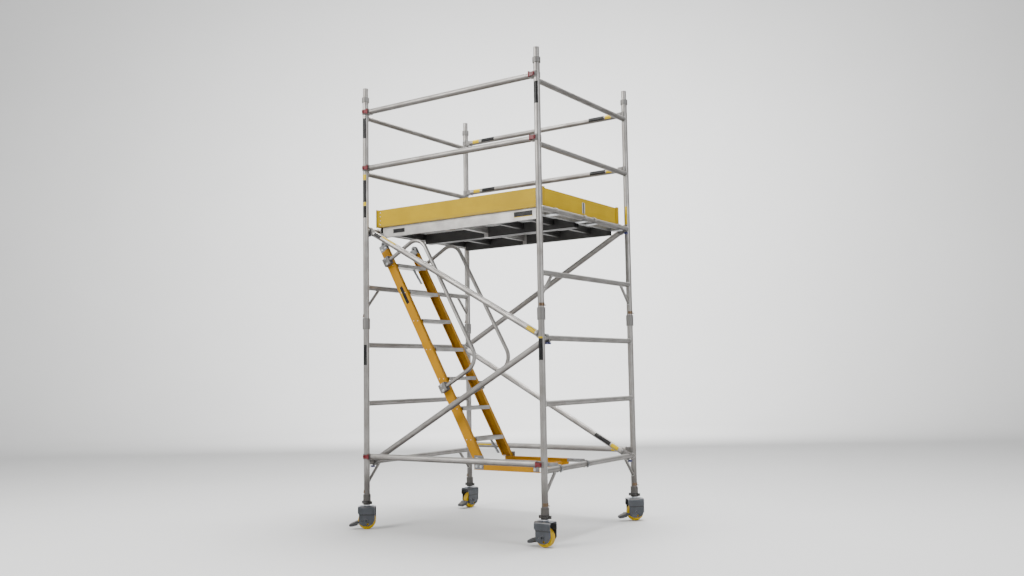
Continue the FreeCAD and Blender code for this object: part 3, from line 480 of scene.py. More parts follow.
def frame_coordinates(nodes):
    """Side frame: posts stand at the corners, rungs run along Y at every rung height."""
    x, y, z = nodes.split(nodes.place)[:3]
    from_x = nodes.minus(nodes.absolute(x), POST_X)
    from_y = nodes.minus(nodes.absolute(y), POST_Y)
    turns = nodes.math("MULTIPLY_ADD", z, 1 / RUNG_PITCH, 0.5 - RUNGS[0] / RUNG_PITCH)
    from_rung = nodes.times(nodes.minus(nodes.math("FRACT", turns), 0.5), RUNG_PITCH)
    squares = nodes.math("ADD", nodes.math("POWER", from_x, 2.0), nodes.math("POWER", from_y, 2.0))
    spread = nodes.math("SQRT", squares)
    post = nodes.math("LESS_THAN", spread, SLEEVE_R)
    post_angle = nodes.math("ARCTAN2", from_y, from_x)
    rung_angle = nodes.math("ARCTAN2", from_rung, from_x)
    cast = nodes.times(post, nodes.math("GREATER_THAN", spread, POST_R + 0.0008))
    return nodes.blend(post, rung_angle, post_angle), nodes.blend(post, y, z), cast


def brace_coordinates(base):
    """Brace along X whose height is base above a whole number of rung pitches."""
    def coordinates(nodes):
        x, y, z = nodes.split(nodes.place)[:3]
        from_y = nodes.minus(nodes.absolute(y), POST_Y)
        turns = nodes.math("MULTIPLY_ADD", z, 1 / RUNG_PITCH, 0.5 - base / RUNG_PITCH)
        from_z = nodes.times(nodes.minus(nodes.math("FRACT", turns), 0.5), RUNG_PITCH)
        cast = nodes.math("GREATER_THAN", nodes.absolute(x), CLAW_START)
        return nodes.math("ARCTAN2", from_z, from_y), x, cast
    return coordinates


def slanted_coordinates(y, left, right):
    """Diagonal in the plane y, from the height left at one frame to right at the other."""
    run = unit([2 * POST_X, 0.0, right - left])
    square = np.array([-run[2], 0.0, run[0]])
    start = np.array([-POST_X, y, left])

    def coordinates(nodes):
        along = nodes.minus(nodes.dot(nodes.place, tuple(run)), float(start @ run))
        over = nodes.minus(nodes.dot(nodes.place, tuple(square)), float(start @ square))
        from_y = nodes.minus(nodes.split(nodes.place)["Y"], y)
        cast = nodes.math("GREATER_THAN", nodes.absolute(nodes.split(nodes.place)["X"]), CLAW_START)
        return nodes.math("ARCTAN2", over, from_y), along, cast
    return coordinates


def rail_coordinates(nodes):
    """Bent handrail: long lines up the slope, and cast clamps close to the stile."""
    along = nodes.dot(nodes.place, tuple(UP_SLOPE))
    over = nodes.minus(nodes.dot(nodes.place, tuple(OFF_SLOPE)), float(STAIR_FOOT @ OFF_SLOPE))
    cast = nodes.math("LESS_THAN", over, 0.0385)
    return nodes.times(over, 9.0), along, cast


def flat_extrusion(name, across, along, grooves, tone=1.0, painted_shade=None):
    """Flat extruded aluminium: fine lines along it, and grooves at a steady spacing across it.

    The last argument gives how far a point lies under the platform, where shade is painted in as a near-black
    colour.
    """
    nodes = Skin(name, 0.9)
    over, run = nodes.dot(nodes.place, tuple(across)), nodes.dot(nodes.place, tuple(along))
    streak = nodes.group(STREAKS, Across=over, Along=run, Fineness=900.0)
    weather = nodes.weather(6.0)
    dust = nodes.dust(0.4)
    wear = nodes.wear(0.0012)
    wave = nodes.step(nodes.math("SINE", nodes.times(over, 2 * math.pi / grooves)), -0.98, -0.8)
    dull, bright = scaled((0.34, 0.33, 0.32), tone), scaled((0.50, 0.49, 0.475), tone)
    colour = nodes.layers(
        nodes.mix(weather["Blotch"], dull, bright),
        (streak["Mask"], 0.3, (0.31, 0.30, 0.29)),
        (weather["Smear"], 0.4, (0.25, 0.22, 0.19)),
        (wear, 0.6, (0.7, 0.69, 0.68)),
    )
    if painted_shade:
        # Painted shade under the platform: the colour taken most of the way to near-black.
        colour = nodes.mix(nodes.times(painted_shade(nodes), 0.93), colour, (0.055, 0.054, 0.053))
    colour = nodes.mix(dust, colour, DUST_COLOUR)
    rough = nodes.math("MULTIPLY_ADD", streak["Mask"], 0.12, nodes.blend(weather["Blotch"], 0.46, 0.36))
    rough = nodes.math("MULTIPLY_ADD", dust, 0.4, rough)
    return nodes.finish(colour, rough, nodes.math("MULTIPLY_ADD", streak["Height"], 0.15, wave), 0.0003)


def shade_under_platform(nodes):
    """Where shade is painted under the platforms: inside their outer faces, but not on the lighter member
    beside the hatch.
    """
    x, y = nodes.split(nodes.place)[:2]
    within_x = nodes.math("LESS_THAN", nodes.absolute(x), 0.829)
    within_y = nodes.math("LESS_THAN", nodes.absolute(y), 0.6115)
    from_member = nodes.absolute(nodes.math("ADD", x, 0.105))
    within = nodes.times(within_x, within_y)
    return nodes.times(within, nodes.math("GREATER_THAN", from_member, 0.0215))


def cast_metal(name, light, dark, metallic, roughness):
    """Rough casting with handled, brighter edges and darker smears."""
    nodes = Skin(name, metallic)
    weather = nodes.weather(24.0)
    wear = nodes.wear(0.0016)
    dust = nodes.dust(0.4)
    grain = nodes.grain(260.0)
    colour = nodes.layers(
        nodes.mix(weather["Blotch"], dark, light),
        (weather["Smear"], 0.5, scaled(dark, 0.5)),
        (wear, 0.7, scaled(light, 1.5)),
    )
    colour = nodes.mix(dust, colour, DUST_COLOUR)
    rough = nodes.blend(wear, nodes.math("MULTIPLY_ADD", weather["Blotch"], -0.1, roughness), 0.3)
    return nodes.finish(colour, rough, grain, 0.0005)


def painted(name, colour, faded, bare, roughness, coat):
    """Painted or moulded skin: faded in blotches, smeared, dusty, and worn to what lies under it."""
    nodes = Skin(name, 0.0, Coat_Weight=coat, Coat_Roughness=0.25)
    weather = nodes.weather(7.0)
    wear = nodes.wear(0.0015)
    dust = nodes.dust(0.45)
    grain = nodes.grain(500.0)
    skin = nodes.layers(
        nodes.mix(weather["Blotch"], colour, faded),
        (weather["Smear"], 0.35, scaled(colour, 0.45)),
        (weather["Speck"], 0.25, (0.1, 0.09, 0.08)),
        (wear, 0.75, bare),
    )
    colour = nodes.mix(dust, skin, DUST_COLOUR)
    rough = nodes.math("MULTIPLY_ADD", weather["Blotch"], 0.12, roughness)
    rough = nodes.math("MULTIPLY_ADD", dust, 0.3, rough)
    return nodes.finish(colour, rough, grain, 0.00012)


def fibre_channel():
    """Pultruded glass-fibre channel: fine fibres along the slope, chalked and rubbed at its edges."""
    nodes = Skin("glass_fibre_channel", 0.0, Specular_IOR_Level=0.22)
    over, along = nodes.dot(nodes.place, tuple(OFF_SLOPE)), nodes.dot(nodes.place, tuple(UP_SLOPE))
    streak = nodes.group(STREAKS, Across=over, Along=along, Fineness=700.0)
    weather = nodes.weather(6.0)
    wear = nodes.wear(0.0018)
    dust = nodes.dust(0.35)
    colour = nodes.layers(
        nodes.mix(weather["Blotch"], (0.40, 0.185, 0.0), (0.46, 0.218, 0.0)),
        (streak["Mask"], 0.35, (0.34, 0.145, 0.0)),
        (weather["Smear"], 0.4, (0.25, 0.13, 0.03)),
        (wear, 0.4, (0.62, 0.40, 0.12)),
    )
    colour = nodes.mix(dust, colour, DUST_COLOUR)
    rough = nodes.blend(streak["Mask"], 0.38, 0.52)
    return nodes.finish(colour, rough, streak["Height"], 0.00025)


def toe_board_paint():
    """Yellow board: faint grain along its length, rubs, scuffed lower edge and darker ends."""
    nodes = Skin("yellow_board_paint", 0.0, Specular_IOR_Level=0.2)
    x, y, z = nodes.split(nodes.place)[:3]
    streak = nodes.group(STREAKS, Across=z, Along=nodes.math("ADD", x, y), Fineness=300.0)
    weather = nodes.weather(4.5)
    wear = nodes.wear(0.0025)
    dust = nodes.dust(0.2)
    foot = nodes.times(nodes.step(z, 2.618, 2.592), weather["Blotch"])
    colour = nodes.layers(
        nodes.mix(weather["Blotch"], (0.43, 0.275, 0.0), (0.50, 0.322, 0.0)),
        (streak["Mask"], 0.25, (0.38, 0.24, 0.0)),
        (weather["Smear"], 0.25, (0.36, 0.24, 0.01)),
        (foot, 0.5, (0.20, 0.15, 0.06)),
        (wear, 0.6, (0.42, 0.30, 0.14)),
    )
    tab = nodes.math("GREATER_THAN", nodes.absolute(x), 0.8608)
    colour = nodes.tint(colour, tab, 0.6, (0.36, 0.22, 0.008))
    colour = nodes.mix(dust, colour, DUST_COLOUR)
    rough = nodes.blend(streak["Mask"], 0.42, 0.56)
    return nodes.finish(colour, rough, streak["Height"], 0.0003)


def deck_board():
    """Film-faced plywood: pressed dots on top, smooth below, plies showing in its edges."""
    nodes = Skin("film_faced_plywood", 0.0)
    x, y, z = nodes.split(nodes.place)[:3]
    facing = nodes.facing_up()
    weather = nodes.weather(5.0)
    dust = nodes.dust(0.55)
    lattice = {"Vector": nodes.join(x, y, 0.0), "Scale": 130.0, "Randomness": 0.0}
    cells = nodes.add("ShaderNodeTexVoronoi", lattice).outputs["Distance"]
    dots = nodes.step(cells, 0.42, 0.24)
    top = nodes.step(facing, 0.5, 0.8)
    edge = nodes.math("LESS_THAN", nodes.absolute(facing), 0.5)
    ply = nodes.step(nodes.math("SINE", nodes.times(z, 2 * math.pi / 0.003)), -0.3, 0.3)
    film = nodes.mix(weather["Blotch"], (0.085, 0.078, 0.072), (0.125, 0.117, 0.11))
    below = nodes.mix(weather["Blotch"], (0.44, 0.44, 0.44), (0.50, 0.50, 0.50))
    film = nodes.mix(nodes.step(facing, -0.5, -0.8), film, below)
    film = nodes.tint(film, weather["Smear"], 0.5, (0.18, 0.16, 0.14))
    film = nodes.mix(nodes.times(nodes.times(dots, top), 0.4), film, (0.05, 0.045, 0.04))
    plies = nodes.mix(ply, (0.17, 0.10, 0.05), (0.30, 0.20, 0.11))
    colour = nodes.tint(film, edge, 0.7, plies)
    colour = nodes.mix(dust, colour, DUST_COLOUR)
    rough = nodes.blend(top, 0.5, 0.62)
    return nodes.finish(colour, rough, nodes.times(dots, top), 0.0006)


def film_label(name, colour, faded):
    """Printed film: flat ink, scuffed through in specks and slightly wavy."""
    nodes = Skin(name, 0.0, Specular_IOR_Level=0.2)
    weather = nodes.weather(30.0)
    ink = nodes.mix(weather["Blotch"], colour, faded)
    ink = nodes.tint(ink, weather["Speck"], 0.35, (0.25, 0.24, 0.22))
    rough = nodes.blend(weather["Smear"], 0.34, 0.55)
    return nodes.finish(ink, rough, nodes.noise(nodes.place, 60.0, 2.0), 0.0004)


def tyre_rubber(corner):
    """Yellow castor tyre: soft sheen, scuffed and dirty round the tread, with a grey hub."""
    nodes = Skin("yellow_tyre_" + corner, 0.0, Specular_IOR_Level=0.25)
    side, row = CORNERS[corner]
    turn = math.radians(SWIVEL[corner])
    axle = (-math.sin(turn), math.cos(turn), 0.0)
    centre = (side * POST_X, row * POST_Y, WHEEL_R)
    offset = nodes.vector("SUBTRACT", nodes.place, centre)["Vector"]
    square = nodes.dot(offset, offset)
    along = nodes.math("POWER", nodes.absolute(nodes.dot(offset, axle)), 2.0)
    reach = nodes.math("SQRT", nodes.minus(square, along))
    weather = nodes.weather(26.0)
    grain = nodes.grain(700.0)
    tread = nodes.times(nodes.step(reach, 0.0712, 0.0745), weather["Blotch"])
    hub = nodes.step(reach, 0.0235, 0.0225)
    colour = nodes.layers(
        nodes.mix(weather["Blotch"], (0.52, 0.32, 0.0), (0.60, 0.385, 0.0)),
        (weather["Smear"], 0.5, (0.22, 0.14, 0.03)),
        (tread, 0.55, (0.14, 0.11, 0.07)),
        (hub, 0.85, (0.20, 0.20, 0.21)),
    )
    rough = nodes.blend(tread, 0.42, 0.75)
    return nodes.finish(colour, rough, grain, 0.0002)


def fork_finish():
    """Enamelled fork with a bright zinc crown on top, and a painted shadow under its pressed step."""
    nodes = Skin("fork_enamel", 0.35, Coat_Weight=0.2, Coat_Roughness=0.3)
    z = nodes.split(nodes.place)["Z"]
    weather = nodes.weather(20.0)
    wear = nodes.wear(0.002)
    dust = nodes.dust(0.5)
    grain = nodes.grain(520.0)
    zinc = nodes.step(z, 0.1885, 0.1905)
    paint = nodes.layers(
        nodes.mix(weather["Blotch"], (0.034, 0.038, 0.046), (0.052, 0.057, 0.067)),
        (weather["Smear"], 0.4, (0.05, 0.05, 0.05)),
        (wear, 0.8, (0.42, 0.42, 0.43)),
    )
    # Painted shadow under the pressed step: a near-black band from about 0.118 to 0.130 m up.
    painted_step_shadow = nodes.times(nodes.step(z, 0.116, 0.120), nodes.step(z, 0.131, 0.1295))
    paint = nodes.tint(paint, painted_step_shadow, 0.75, (0.012, 0.012, 0.014))
    colour = nodes.mix(zinc, paint, (0.22, 0.235, 0.265))
    colour = nodes.mix(dust, colour, DUST_COLOUR)
    metal = nodes.blend(zinc, nodes.math("MULTIPLY_ADD", wear, 0.6, 0.3), 1.0)
    nodes.feed(nodes.shader.inputs["Metallic"], metal)
    rough = nodes.blend(zinc, nodes.blend(weather["Blotch"], 0.36, 0.48), 0.3)
    return nodes.finish(colour, rough, grain, 0.0002)


def plated(name, colour, stained, roughness):
    """Zinc plating: crystal patches of slightly different brightness, dulled where it is handled."""
    nodes = Skin(name, 1.0)
    crystal = nodes.add("ShaderNodeTexVoronoi", {"Vector": nodes.place, "Scale": 260.0}).outputs["Color"]
    flake = nodes.split(crystal)["X"]
    weather = nodes.weather(40.0)
    tone = nodes.layers(
        colour,
        (flake, 0.35, scaled(colour, 0.7)),
        (weather["Smear"], 0.6, stained),
    )
    rough = nodes.math("MULTIPLY_ADD", flake, 0.14, roughness)
    return nodes.finish(tone, rough, weather["Blotch"], 0.00008)


FRAME_TUBE = extruded("ribbed_frame_tube", frame_coordinates)
BASE_TUBE = extruded("ribbed_base_brace", brace_coordinates(BRACES[0]))
RAIL_TUBE = extruded("ribbed_guard_rail", brace_coordinates(BRACES[1]))
HANDRAIL = extruded("bent_handrail_tube", rail_coordinates, ribs=0.0)
BEAM = flat_extrusion("platform_extrusion", Z_AXIS, X_AXIS, 0.018, painted_shade=shade_under_platform)
TREAD = flat_extrusion("tread_extrusion", X_AXIS, Y_AXIS, 0.012, 1.1)
CASTING = cast_metal("cast_aluminium", (0.27, 0.275, 0.28), (0.17, 0.172, 0.175), 0.85, 0.5)
NUT = cast_metal("dark_nut_casting", (0.07, 0.067, 0.065), (0.03, 0.028, 0.026), 0.6, 0.55)
STEEL = plated("zinc_plated_steel", (0.60, 0.61, 0.63), (0.34, 0.31, 0.28), 0.28)
CROWN = plated("dull_zinc_plate", (0.25, 0.27, 0.31), (0.16, 0.16, 0.17), 0.36)
BRONZE = plated("yellow_passivated_steel", (0.17, 0.118, 0.080), (0.09, 0.062, 0.042), 0.38)
WELD = plated("weld_metal", (0.55, 0.54, 0.52), (0.36, 0.34, 0.31), 0.4)
BOARD, DECK, STILE, FORK = toe_board_paint(), deck_board(), fibre_channel(), fork_finish()
TYRES = {corner: tyre_rubber(corner) for corner in CORNERS}
WHEEL_NODE = "castor_wheel_"
RED = painted("red_moulding", (0.105, 0.002, 0.006), (0.14, 0.004, 0.010), (0.24, 0.04, 0.045), 0.42, 0.05)
BLUE = painted("blue_moulding", (0.014, 0.018, 0.085), (0.026, 0.030, 0.11), (0.12, 0.13, 0.25), 0.38, 0.2)
PEDAL = painted("pedal_enamel", (0.024, 0.025, 0.027), (0.042, 0.044, 0.046), (0.34, 0.34, 0.34), 0.46, 0.05)
BLACK_FILM = film_label("black_film", (0.008, 0.008, 0.009), (0.020, 0.020, 0.020))
YELLOW_FILM = film_label("yellow_film", (0.62, 0.43, 0.0), (0.52, 0.35, 0.0))
GREY_FILM = film_label("grey_film", (0.42, 0.42, 0.41), (0.34, 0.34, 0.33))


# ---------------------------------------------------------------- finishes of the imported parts

def finish_of(node):
    """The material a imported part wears, from its name."""
    if node in DIAGONALS:
        return extruded("ribbed_" + node, slanted_coordinates(*DIAGONALS[node]))
    if node.startswith(WHEEL_NODE):
        return TYRES[node.removeprefix(WHEEL_NODE)]
    for word, material in (
        ("platform_frame", BEAM), ("lower_frame", FRAME_TUBE), ("upper_frame", FRAME_TUBE),
        ("base_brace", BASE_TUBE), ("guard_rail", RAIL_TUBE), ("handrail", HANDRAIL), ("toe_board", BOARD),
        ("platform_deck", DECK), ("hatch", DECK), ("wind_lock", STEEL), ("stair_stiles", STILE),
        ("stair_base_frame", STILE), ("stair_treads", TREAD), ("stair_brackets", CASTING),
        ("interlock_clips", BRONZE), ("red_triggers", RED), ("blue_triggers", BLUE),
        ("adjustable_leg", STEEL), ("adjusting_nut", NUT), ("castor_fork", FORK),
        ("brake_pedal", PEDAL),
    ):
        if word in node:
            return material
    raise RuntimeError(f"no finish for {node}")


for node_name, node_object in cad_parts.items():
    node_object.data.materials.clear()
    node_object.data.materials.append(finish_of(node_name))


# ---------------------------------------------------------------- welds and rivets

def frame_welds():
    """Beads where each rung meets its posts and each knee meets its rung and its post."""
    beads = []
    for side, row in CORNERS.values():
        post = np.array([side * POST_X, row * POST_Y, 0.0])
        for height in RUNGS:
            beads.append(weld(post + [0, 0, height], (0, -row, 0), RUNG_R, post, Z_AXIS, POST_R))
        for height in KNEE_RUNGS:
            low = post + [0, 0, height - KNEE_DROP]
            high = post + [0, -row * KNEE_REACH, height]
            beads.append(weld(low, high - low, KNEE_R, post, Z_AXIS, POST_R, 0.002, 16))
            beads.append(weld(high, low - high, KNEE_R, high, Y_AXIS, RUNG_R, 0.002, 16))
    return beads


def claw_rivets():
    """Rivets through the claws' necks, one above and one below each."""
    heads = []
    for side, row in CORNERS.values():
        for height in BRACES:
            for up in (-1, 1):
                spot = (side * (POST_X - 0.054), row * POST_Y, height + up * 0.0218)
                heads.append(dome(spot, (0, 0, up), 0.0055, 0.003))
    return heads


def board_rivets():
    """Columns of four rivets near the ends of the long toe boards."""
    heads = []
    for row in (-1, 1):
        for side in (-1, 1):
            for height in np.linspace(2.612, 2.718, 4):
                heads.append(dome((side * 0.815, row * 0.635, height), (0, row, 0), 0.005, 0.0022))
    return heads


def deck_rivets():
    """Rivets down both edges of each deck board, clear of the hatch and the toe boards."""
    heads = []
    for y in (-0.592, -0.021, 0.021, 0.592):
        for x in np.linspace(-0.80, 0.80, 9):
            heads.append(dome((x, y, 2.6023), Z_AXIS, 0.006, 0.0018))
    return heads


piece("frame_weld_beads", frame_welds(), "tower", WELD, 80)
piece("claw_rivets", claw_rivets(), "tower", STEEL)
piece("toe_board_rivets", board_rivets(), "tower", STEEL)
piece("deck_rivets", deck_rivets(), "tower", STEEL)


# ---------------------------------------------------------------- plain labels

TOWARDS_FRONT = (0.03, -1.0, 0.0)


def post_label(side, row, low, high, width=0.042, facing=TOWARDS_FRONT):
    centre = (side * POST_X, row * POST_Y, (low + high) / 2)
    return wrapped(centre, Z_AXIS, facing, POST_R, width, high - low)


def rail_label(row, height, start, end, width=0.042, facing=(0, -1, 0.25)):
    centre = ((start + end) / 2, row * POST_Y, height)
    return wrapped(centre, X_AXIS, facing, BRACE_R, width, end - start)


def slanted_label(name, start, end, width=0.036, facing=(0, -1, 0.4)):
    y, left, right = DIAGONALS[name]
    middle = (start + end) / 2
    height = left + (right - left) * (middle + POST_X) / (2 * POST_X)
    run = unit([2 * POST_X, 0.0, right - left])
    return wrapped((middle, y, height), run, facing, BRACE_R, width, (end - start) / run[0])


def stile_label(u, s, half_u, half_s):
    return tablet(on_stair(u, -0.530, s), OFF_SLOPE, UP_SLOPE, half_u, half_s, 0.0004, 0.001, 0.0001)


BLACK_LABELS = [
    post_label(-1, -1, 3.372, 3.552), post_label(-1, -1, 2.808, 3.000), post_label(-1, -1, 2.670, 2.772),
    post_label(-1, -1, 1.389, 1.562), post_label(1, -1, 3.373, 3.547), post_label(1, -1, 1.392, 1.555),
    rail_label(1, BRACES[2], -0.686, -0.535), rail_label(1, BRACES[1], -0.685, -0.536),
    rail_label(1, BRACES[2], 0.543, 0.703), rail_label(1, BRACES[1], 0.543, 0.703),
    slanted_label("rear_lower_diagonal", 0.577, 0.726),
    slanted_label("front_upper_diagonal", -0.828, -0.755, 0.026),
    tablet((-0.62, -0.612, 2.545), X_AXIS, Z_AXIS, 0.066, 0.018, 0.0004, 0.001, 0.0001),
    tablet((0.675, -0.612, 2.548), X_AXIS, Z_AXIS, 0.088, 0.022, 0.0004, 0.001, 0.0001),
    stile_label(0.004, 1.585, 0.016, 0.085),
]
YELLOW_LABELS = [
    post_label(-1, -1, 3.002, 3.051), post_label(-1, -1, 2.774, 2.806), post_label(1, -1, 1.557, 1.570),
    post_label(1, 1, 2.602, 2.764, 0.018, (0.2, -1.0, 0.0)),
    rail_label(1, BRACES[2], -0.794, -0.719), rail_label(1, BRACES[1], -0.790, -0.716),
    rail_label(1, BRACES[2], 0.713, 0.775), rail_label(1, BRACES[1], 0.713, 0.775),
    slanted_label("rear_lower_diagonal", 0.736, 0.804), slanted_label("front_upper_diagonal", 0.747, 0.822),
    slanted_label("front_upper_diagonal", -0.752, -0.598, 0.014, (0, -0.6, 1.0)),
    rail_label(1, BRACES[0], 0.695, 0.739), rail_label(1, BRACES[0], -0.776, -0.615, 0.014),
    tablet((0.675, -0.6124, 2.5285), X_AXIS, Z_AXIS, 0.088, 0.0022, 0.0004, 0.001, 0.0001),
    stile_label(-0.0165, 1.585, 0.003, 0.085),
]
piece("black_labels", BLACK_LABELS, "tower", BLACK_FILM)
piece("yellow_labels", YELLOW_LABELS, "tower", YELLOW_FILM)
END_PLATE = tablet((0.8605, 0.02, 2.66), Y_AXIS, Z_AXIS, 0.022, 0.046, 0.0015, 0.002, 0.0004)
END_BAND = tablet((0.8620, 0.02, 2.66), Y_AXIS, Z_AXIS, 0.007, 0.044, 0.0004, 0.001, 0.0001)
piece("end_board_plate", [END_PLATE], "tower", GREY_FILM)
piece("end_board_plate_band", [END_BAND], "tower", BLACK_FILM)


# ---------------------------------------------------------------- stair hardware

def tread_ridges(height):
    """Non-slip top of a tread: a wave of ridges across it, carried along Y and closed below."""
    middle = STAIR_FOOT[0] - (height - STAIR_FOOT[2]) * math.tan(LEAN)
    over = np.linspace(-0.057, 0.057, 115)
    wave = 0.0013 * np.clip(1.6 * np.cos(2 * np.pi * over / 0.0095), 0.0, 1.0)
    x = np.r_[over, over[::-1], over[:1]]
    lift = np.r_[wave, np.full(len(over), -0.0006), wave[:1]]
    y = np.array([TREAD_Y[0] + 0.001, TREAD_Y[0] + 0.001, TREAD_Y[1] - 0.001, TREAD_Y[1] - 0.001])
    open_row = np.array([0.0, 1.0, 1.0, 0.0])[:, None]
    z = height + 0.015 - 0.0006 + (lift + 0.0006)[None, :] * open_row
    return np.stack([np.broadcast_to(middle + x, z.shape), np.broadcast_to(y[:, None], z.shape), z], axis=2)


STILE_FACES = ((-0.530, -1), (-0.085, 1))       # y of each stile's outer face, and the way it looks


def stair_bolts():
    """Hexagon heads with washers on the foot plates, the top castings and the handrail clamps."""
    heads = []
    for face, row in ((-0.5353, -1), (-0.0797, 1)):
        for x, z in ((0.125, 0.548), (0.170, 0.548), (0.128, 0.612), (0.690, 0.545), (0.714, 0.575)):
            heads += bolt((x, face, z), (0, row, 0), 0.013)
    for face, row in STILE_FACES:
        for u, s in ((-0.022, 2.068), (0.020, 2.068)):
            heads += bolt(on_stair(u, face, s), (0, row, 0), 0.012)
    for face, row in ((-0.575, -1), (-0.040, 1)):
        for s in (0.667, 1.934):
            for over in (-0.025, 0.025):
                heads += bolt(on_stair(0.0, face, s + over), (0, row, 0), 0.013)
    return heads


def bolt(centre, axis, across):
    """Washer and hexagon head standing on a face."""
    axis = unit(axis)
    rim = 0.85 * across
    washer = [(-0.0003, 0.0), (-0.0003, rim), (0.0012, rim), (0.0014, 0.8 * across), (0.0014, 0.0)]
    head = hexagon(np.asarray(centre) + 0.0013 * axis, axis, across, 0.006)
    return [turned(centre, axis, washer, 24), head]


def tread_rivets():
    """Two rivets through each stile into the end of each tread."""
    heads = []
    for height in TREAD_LEVELS:
        s = (height - STAIR_FOOT[2]) / math.cos(LEAN)
        for face, row in STILE_FACES:
            for over in (-0.022, 0.022):
                spot = on_stair(0.0, face, s) + over * X_AXIS
                heads.append(dome(spot, (0, row, 0), 0.0045, 0.002))
    return heads


piece("tread_ridges", [tread_ridges(height) for height in TREAD_LEVELS], "tower", TREAD, 50)
piece("stair_bolts", stair_bolts(), "tower", STEEL)
piece("tread_rivets", tread_rivets(), "tower", STEEL)


# ---------------------------------------------------------------- hatch

def hatch_hardware():
    """Rim of the hand slot and the screws of the hinge leaves."""
    corner = superellipse(0.4, 48)
    size = np.array([[0.066, 0.028], [0.066, 0.028], [0.055, 0.017], [0.055, 0.017], [0.066, 0.028]])
    level = np.array([2.6021, 2.6037, 2.6037, 2.6021, 2.6021])
    flat = corner[None] * size[:, None] + np.array([-0.4525, -0.103])
    rim = np.concatenate([flat, np.broadcast_to(level[:, None, None], (5, 49, 1))], axis=2)
    screws = []
    for start in (0.060, 0.124, 0.450, 0.514):
        for along in (0.008, 0.022):
            screws.append(dome((-0.780 + start + along, -0.548, 2.6047), Z_AXIS, 0.0035, 0.0012))
    return [rim, *screws]


piece("hatch_hardware", hatch_hardware(), "hatch", STEEL)


# ---------------------------------------------------------------- castors and legs

def threaded_leg(x, y):
    """Leg: the stem's radius follows a rounded trapezium of the height less the turn, 8 mm a turn."""
    pitch, crest, root = 0.008, 0.019, 0.0174
    angle = np.linspace(0, 2 * np.pi, 33)
    start, top = 0.2085, 0.6373
    z = np.linspace(start, top - 0.004, 54 * 8 + 1)
    phase = (z[:, None] / pitch - angle[None, :] / (2 * np.pi)) % 1.0
    tooth = np.clip(2.2 - 7.0 * np.abs(phase - 0.5), 0.0, 1.0)
    fade = np.clip((z - start) / 0.006, 0.0, 1.0)[:, None]
    radius = crest - (crest - root) * (1 - tooth) * fade
    low = np.array([
        (0.1753, 0.0), (0.1753, 0.010), (0.1797, 0.010), (0.1797, 0.016), (0.1857, 0.016), (0.1857, 0.010),
        (0.1973, 0.010), (0.1973, 0.0245), (0.1978, 0.025), (0.2046, 0.025), (0.2054, 0.024), (0.2054, 0.019),
    ])
    high = np.array([(top, 0.0165), (top, 0.0140), (0.2273, 0.0140), (0.2273, 0.0)])
    heights = np.r_[low[:, 0], z, high[:, 0]]
    radii = np.vstack([low[:, 1:] * np.ones(33), radius, high[:, 1:] * np.ones(33)])
    return np.stack([x + radii * np.cos(angle), y + radii * np.sin(angle),
                     np.broadcast_to(heights[:, None], radii.shape)], axis=2)


def wheel_shapes():
    """Tyre with three grooves and rounded shoulders, dished sides, hub and ribs in the dish."""
    half = [(0.0330, 0.00755), (0.0330, 0.0185), (0.0318, 0.0200), (0.0200, 0.0215), (0.0190, 0.0225),
            (0.0190, 0.0465), (0.0200, 0.0485), (0.0243, 0.0515), (0.0250, 0.0530), (0.0250, 0.0650),
            (0.0244, 0.0685), (0.0228, 0.0712), (0.0205, 0.0729), (0.0180, 0.0738), (0.0160, 0.0741),
            (0.0152, 0.0722), (0.0136, 0.0722), (0.0128, 0.0745), (0.0060, 0.0750), (0.0030, 0.0750),
            (0.0020, 0.0730), (0.0, 0.0728)]
    outline = np.array(half)
    mirrored = outline[::-1] * [-1, 1]
    profile = np.vstack([outline, mirrored[1:], outline[:1]])
    shapes = [turned((0.0, 0.0, WHEEL_R), Y_AXIS, profile, 72)]
    for turn in np.arange(10) * 2 * np.pi / 10:
        radial = np.array([math.cos(turn), 0.0, math.sin(turn)])
        for row in (-1, 1):
            spot = np.array([0.0, row * 0.0188, WHEEL_R]) + 0.0345 * radial
            across = np.cross([0, row, 0], radial)
            shapes.append(tablet(spot, radial, across, 0.0125, 0.0018, 0.0035, 0.0012, 0.0006))
    return shapes


def fork_hardware():
    """Hexagon and washer on both ends of the axle."""
    shapes = []
    for row in (-1, 1):
        out = (0, row, 0)
        washer = [(-0.0004, 0.0), (-0.0004, 0.0165), (0.0006, 0.0165), (0.0010, 0.0158), (0.0010, 0.0)]
        shapes.append(turned((0.0, row * 0.0460, WHEEL_R), out, washer, 32))
        shapes.append(hexagon((0.0, row * 0.0486, WHEEL_R), out, 0.0235, 0.0044))
    return shapes


def crown_plate():
    """Plate on the flat of the fork's crown, with four studs."""
    plate = tablet((0.0, 0.0, 0.1939), X_AXIS, Y_AXIS, 0.060, 0.0275, 0.0016, 0.008, 0.0006)
    studs = []
    for u in (-1, 1):
        for v in (-1, 1):
            studs.append(dome((u * 0.047, v * 0.018, 0.1953), Z_AXIS, 0.0055, 0.0022))
    return [plate, *studs]


def bill(stations, steps=40):
    """Bill of the pedal: rounded sections of half width w and half height h strung along -X."""
    section = superellipse(0.5, steps)
    knots = np.asarray(stations, float)
    t = np.linspace(0, 1, 25)
    x, z, wide, high = (np.interp(t, np.linspace(0, 1, len(knots)), column) for column in knots.T)
    ends = np.ones(len(t))
    ends[[0, -1]] = 0.0
    across = (wide * ends)[:, None] * section[None, :, 0]
    rise = (high * ends)[:, None] * section[None, :, 1]
    return np.stack([np.broadcast_to(x[:, None], rise.shape), across, z[:, None] + rise], axis=2)


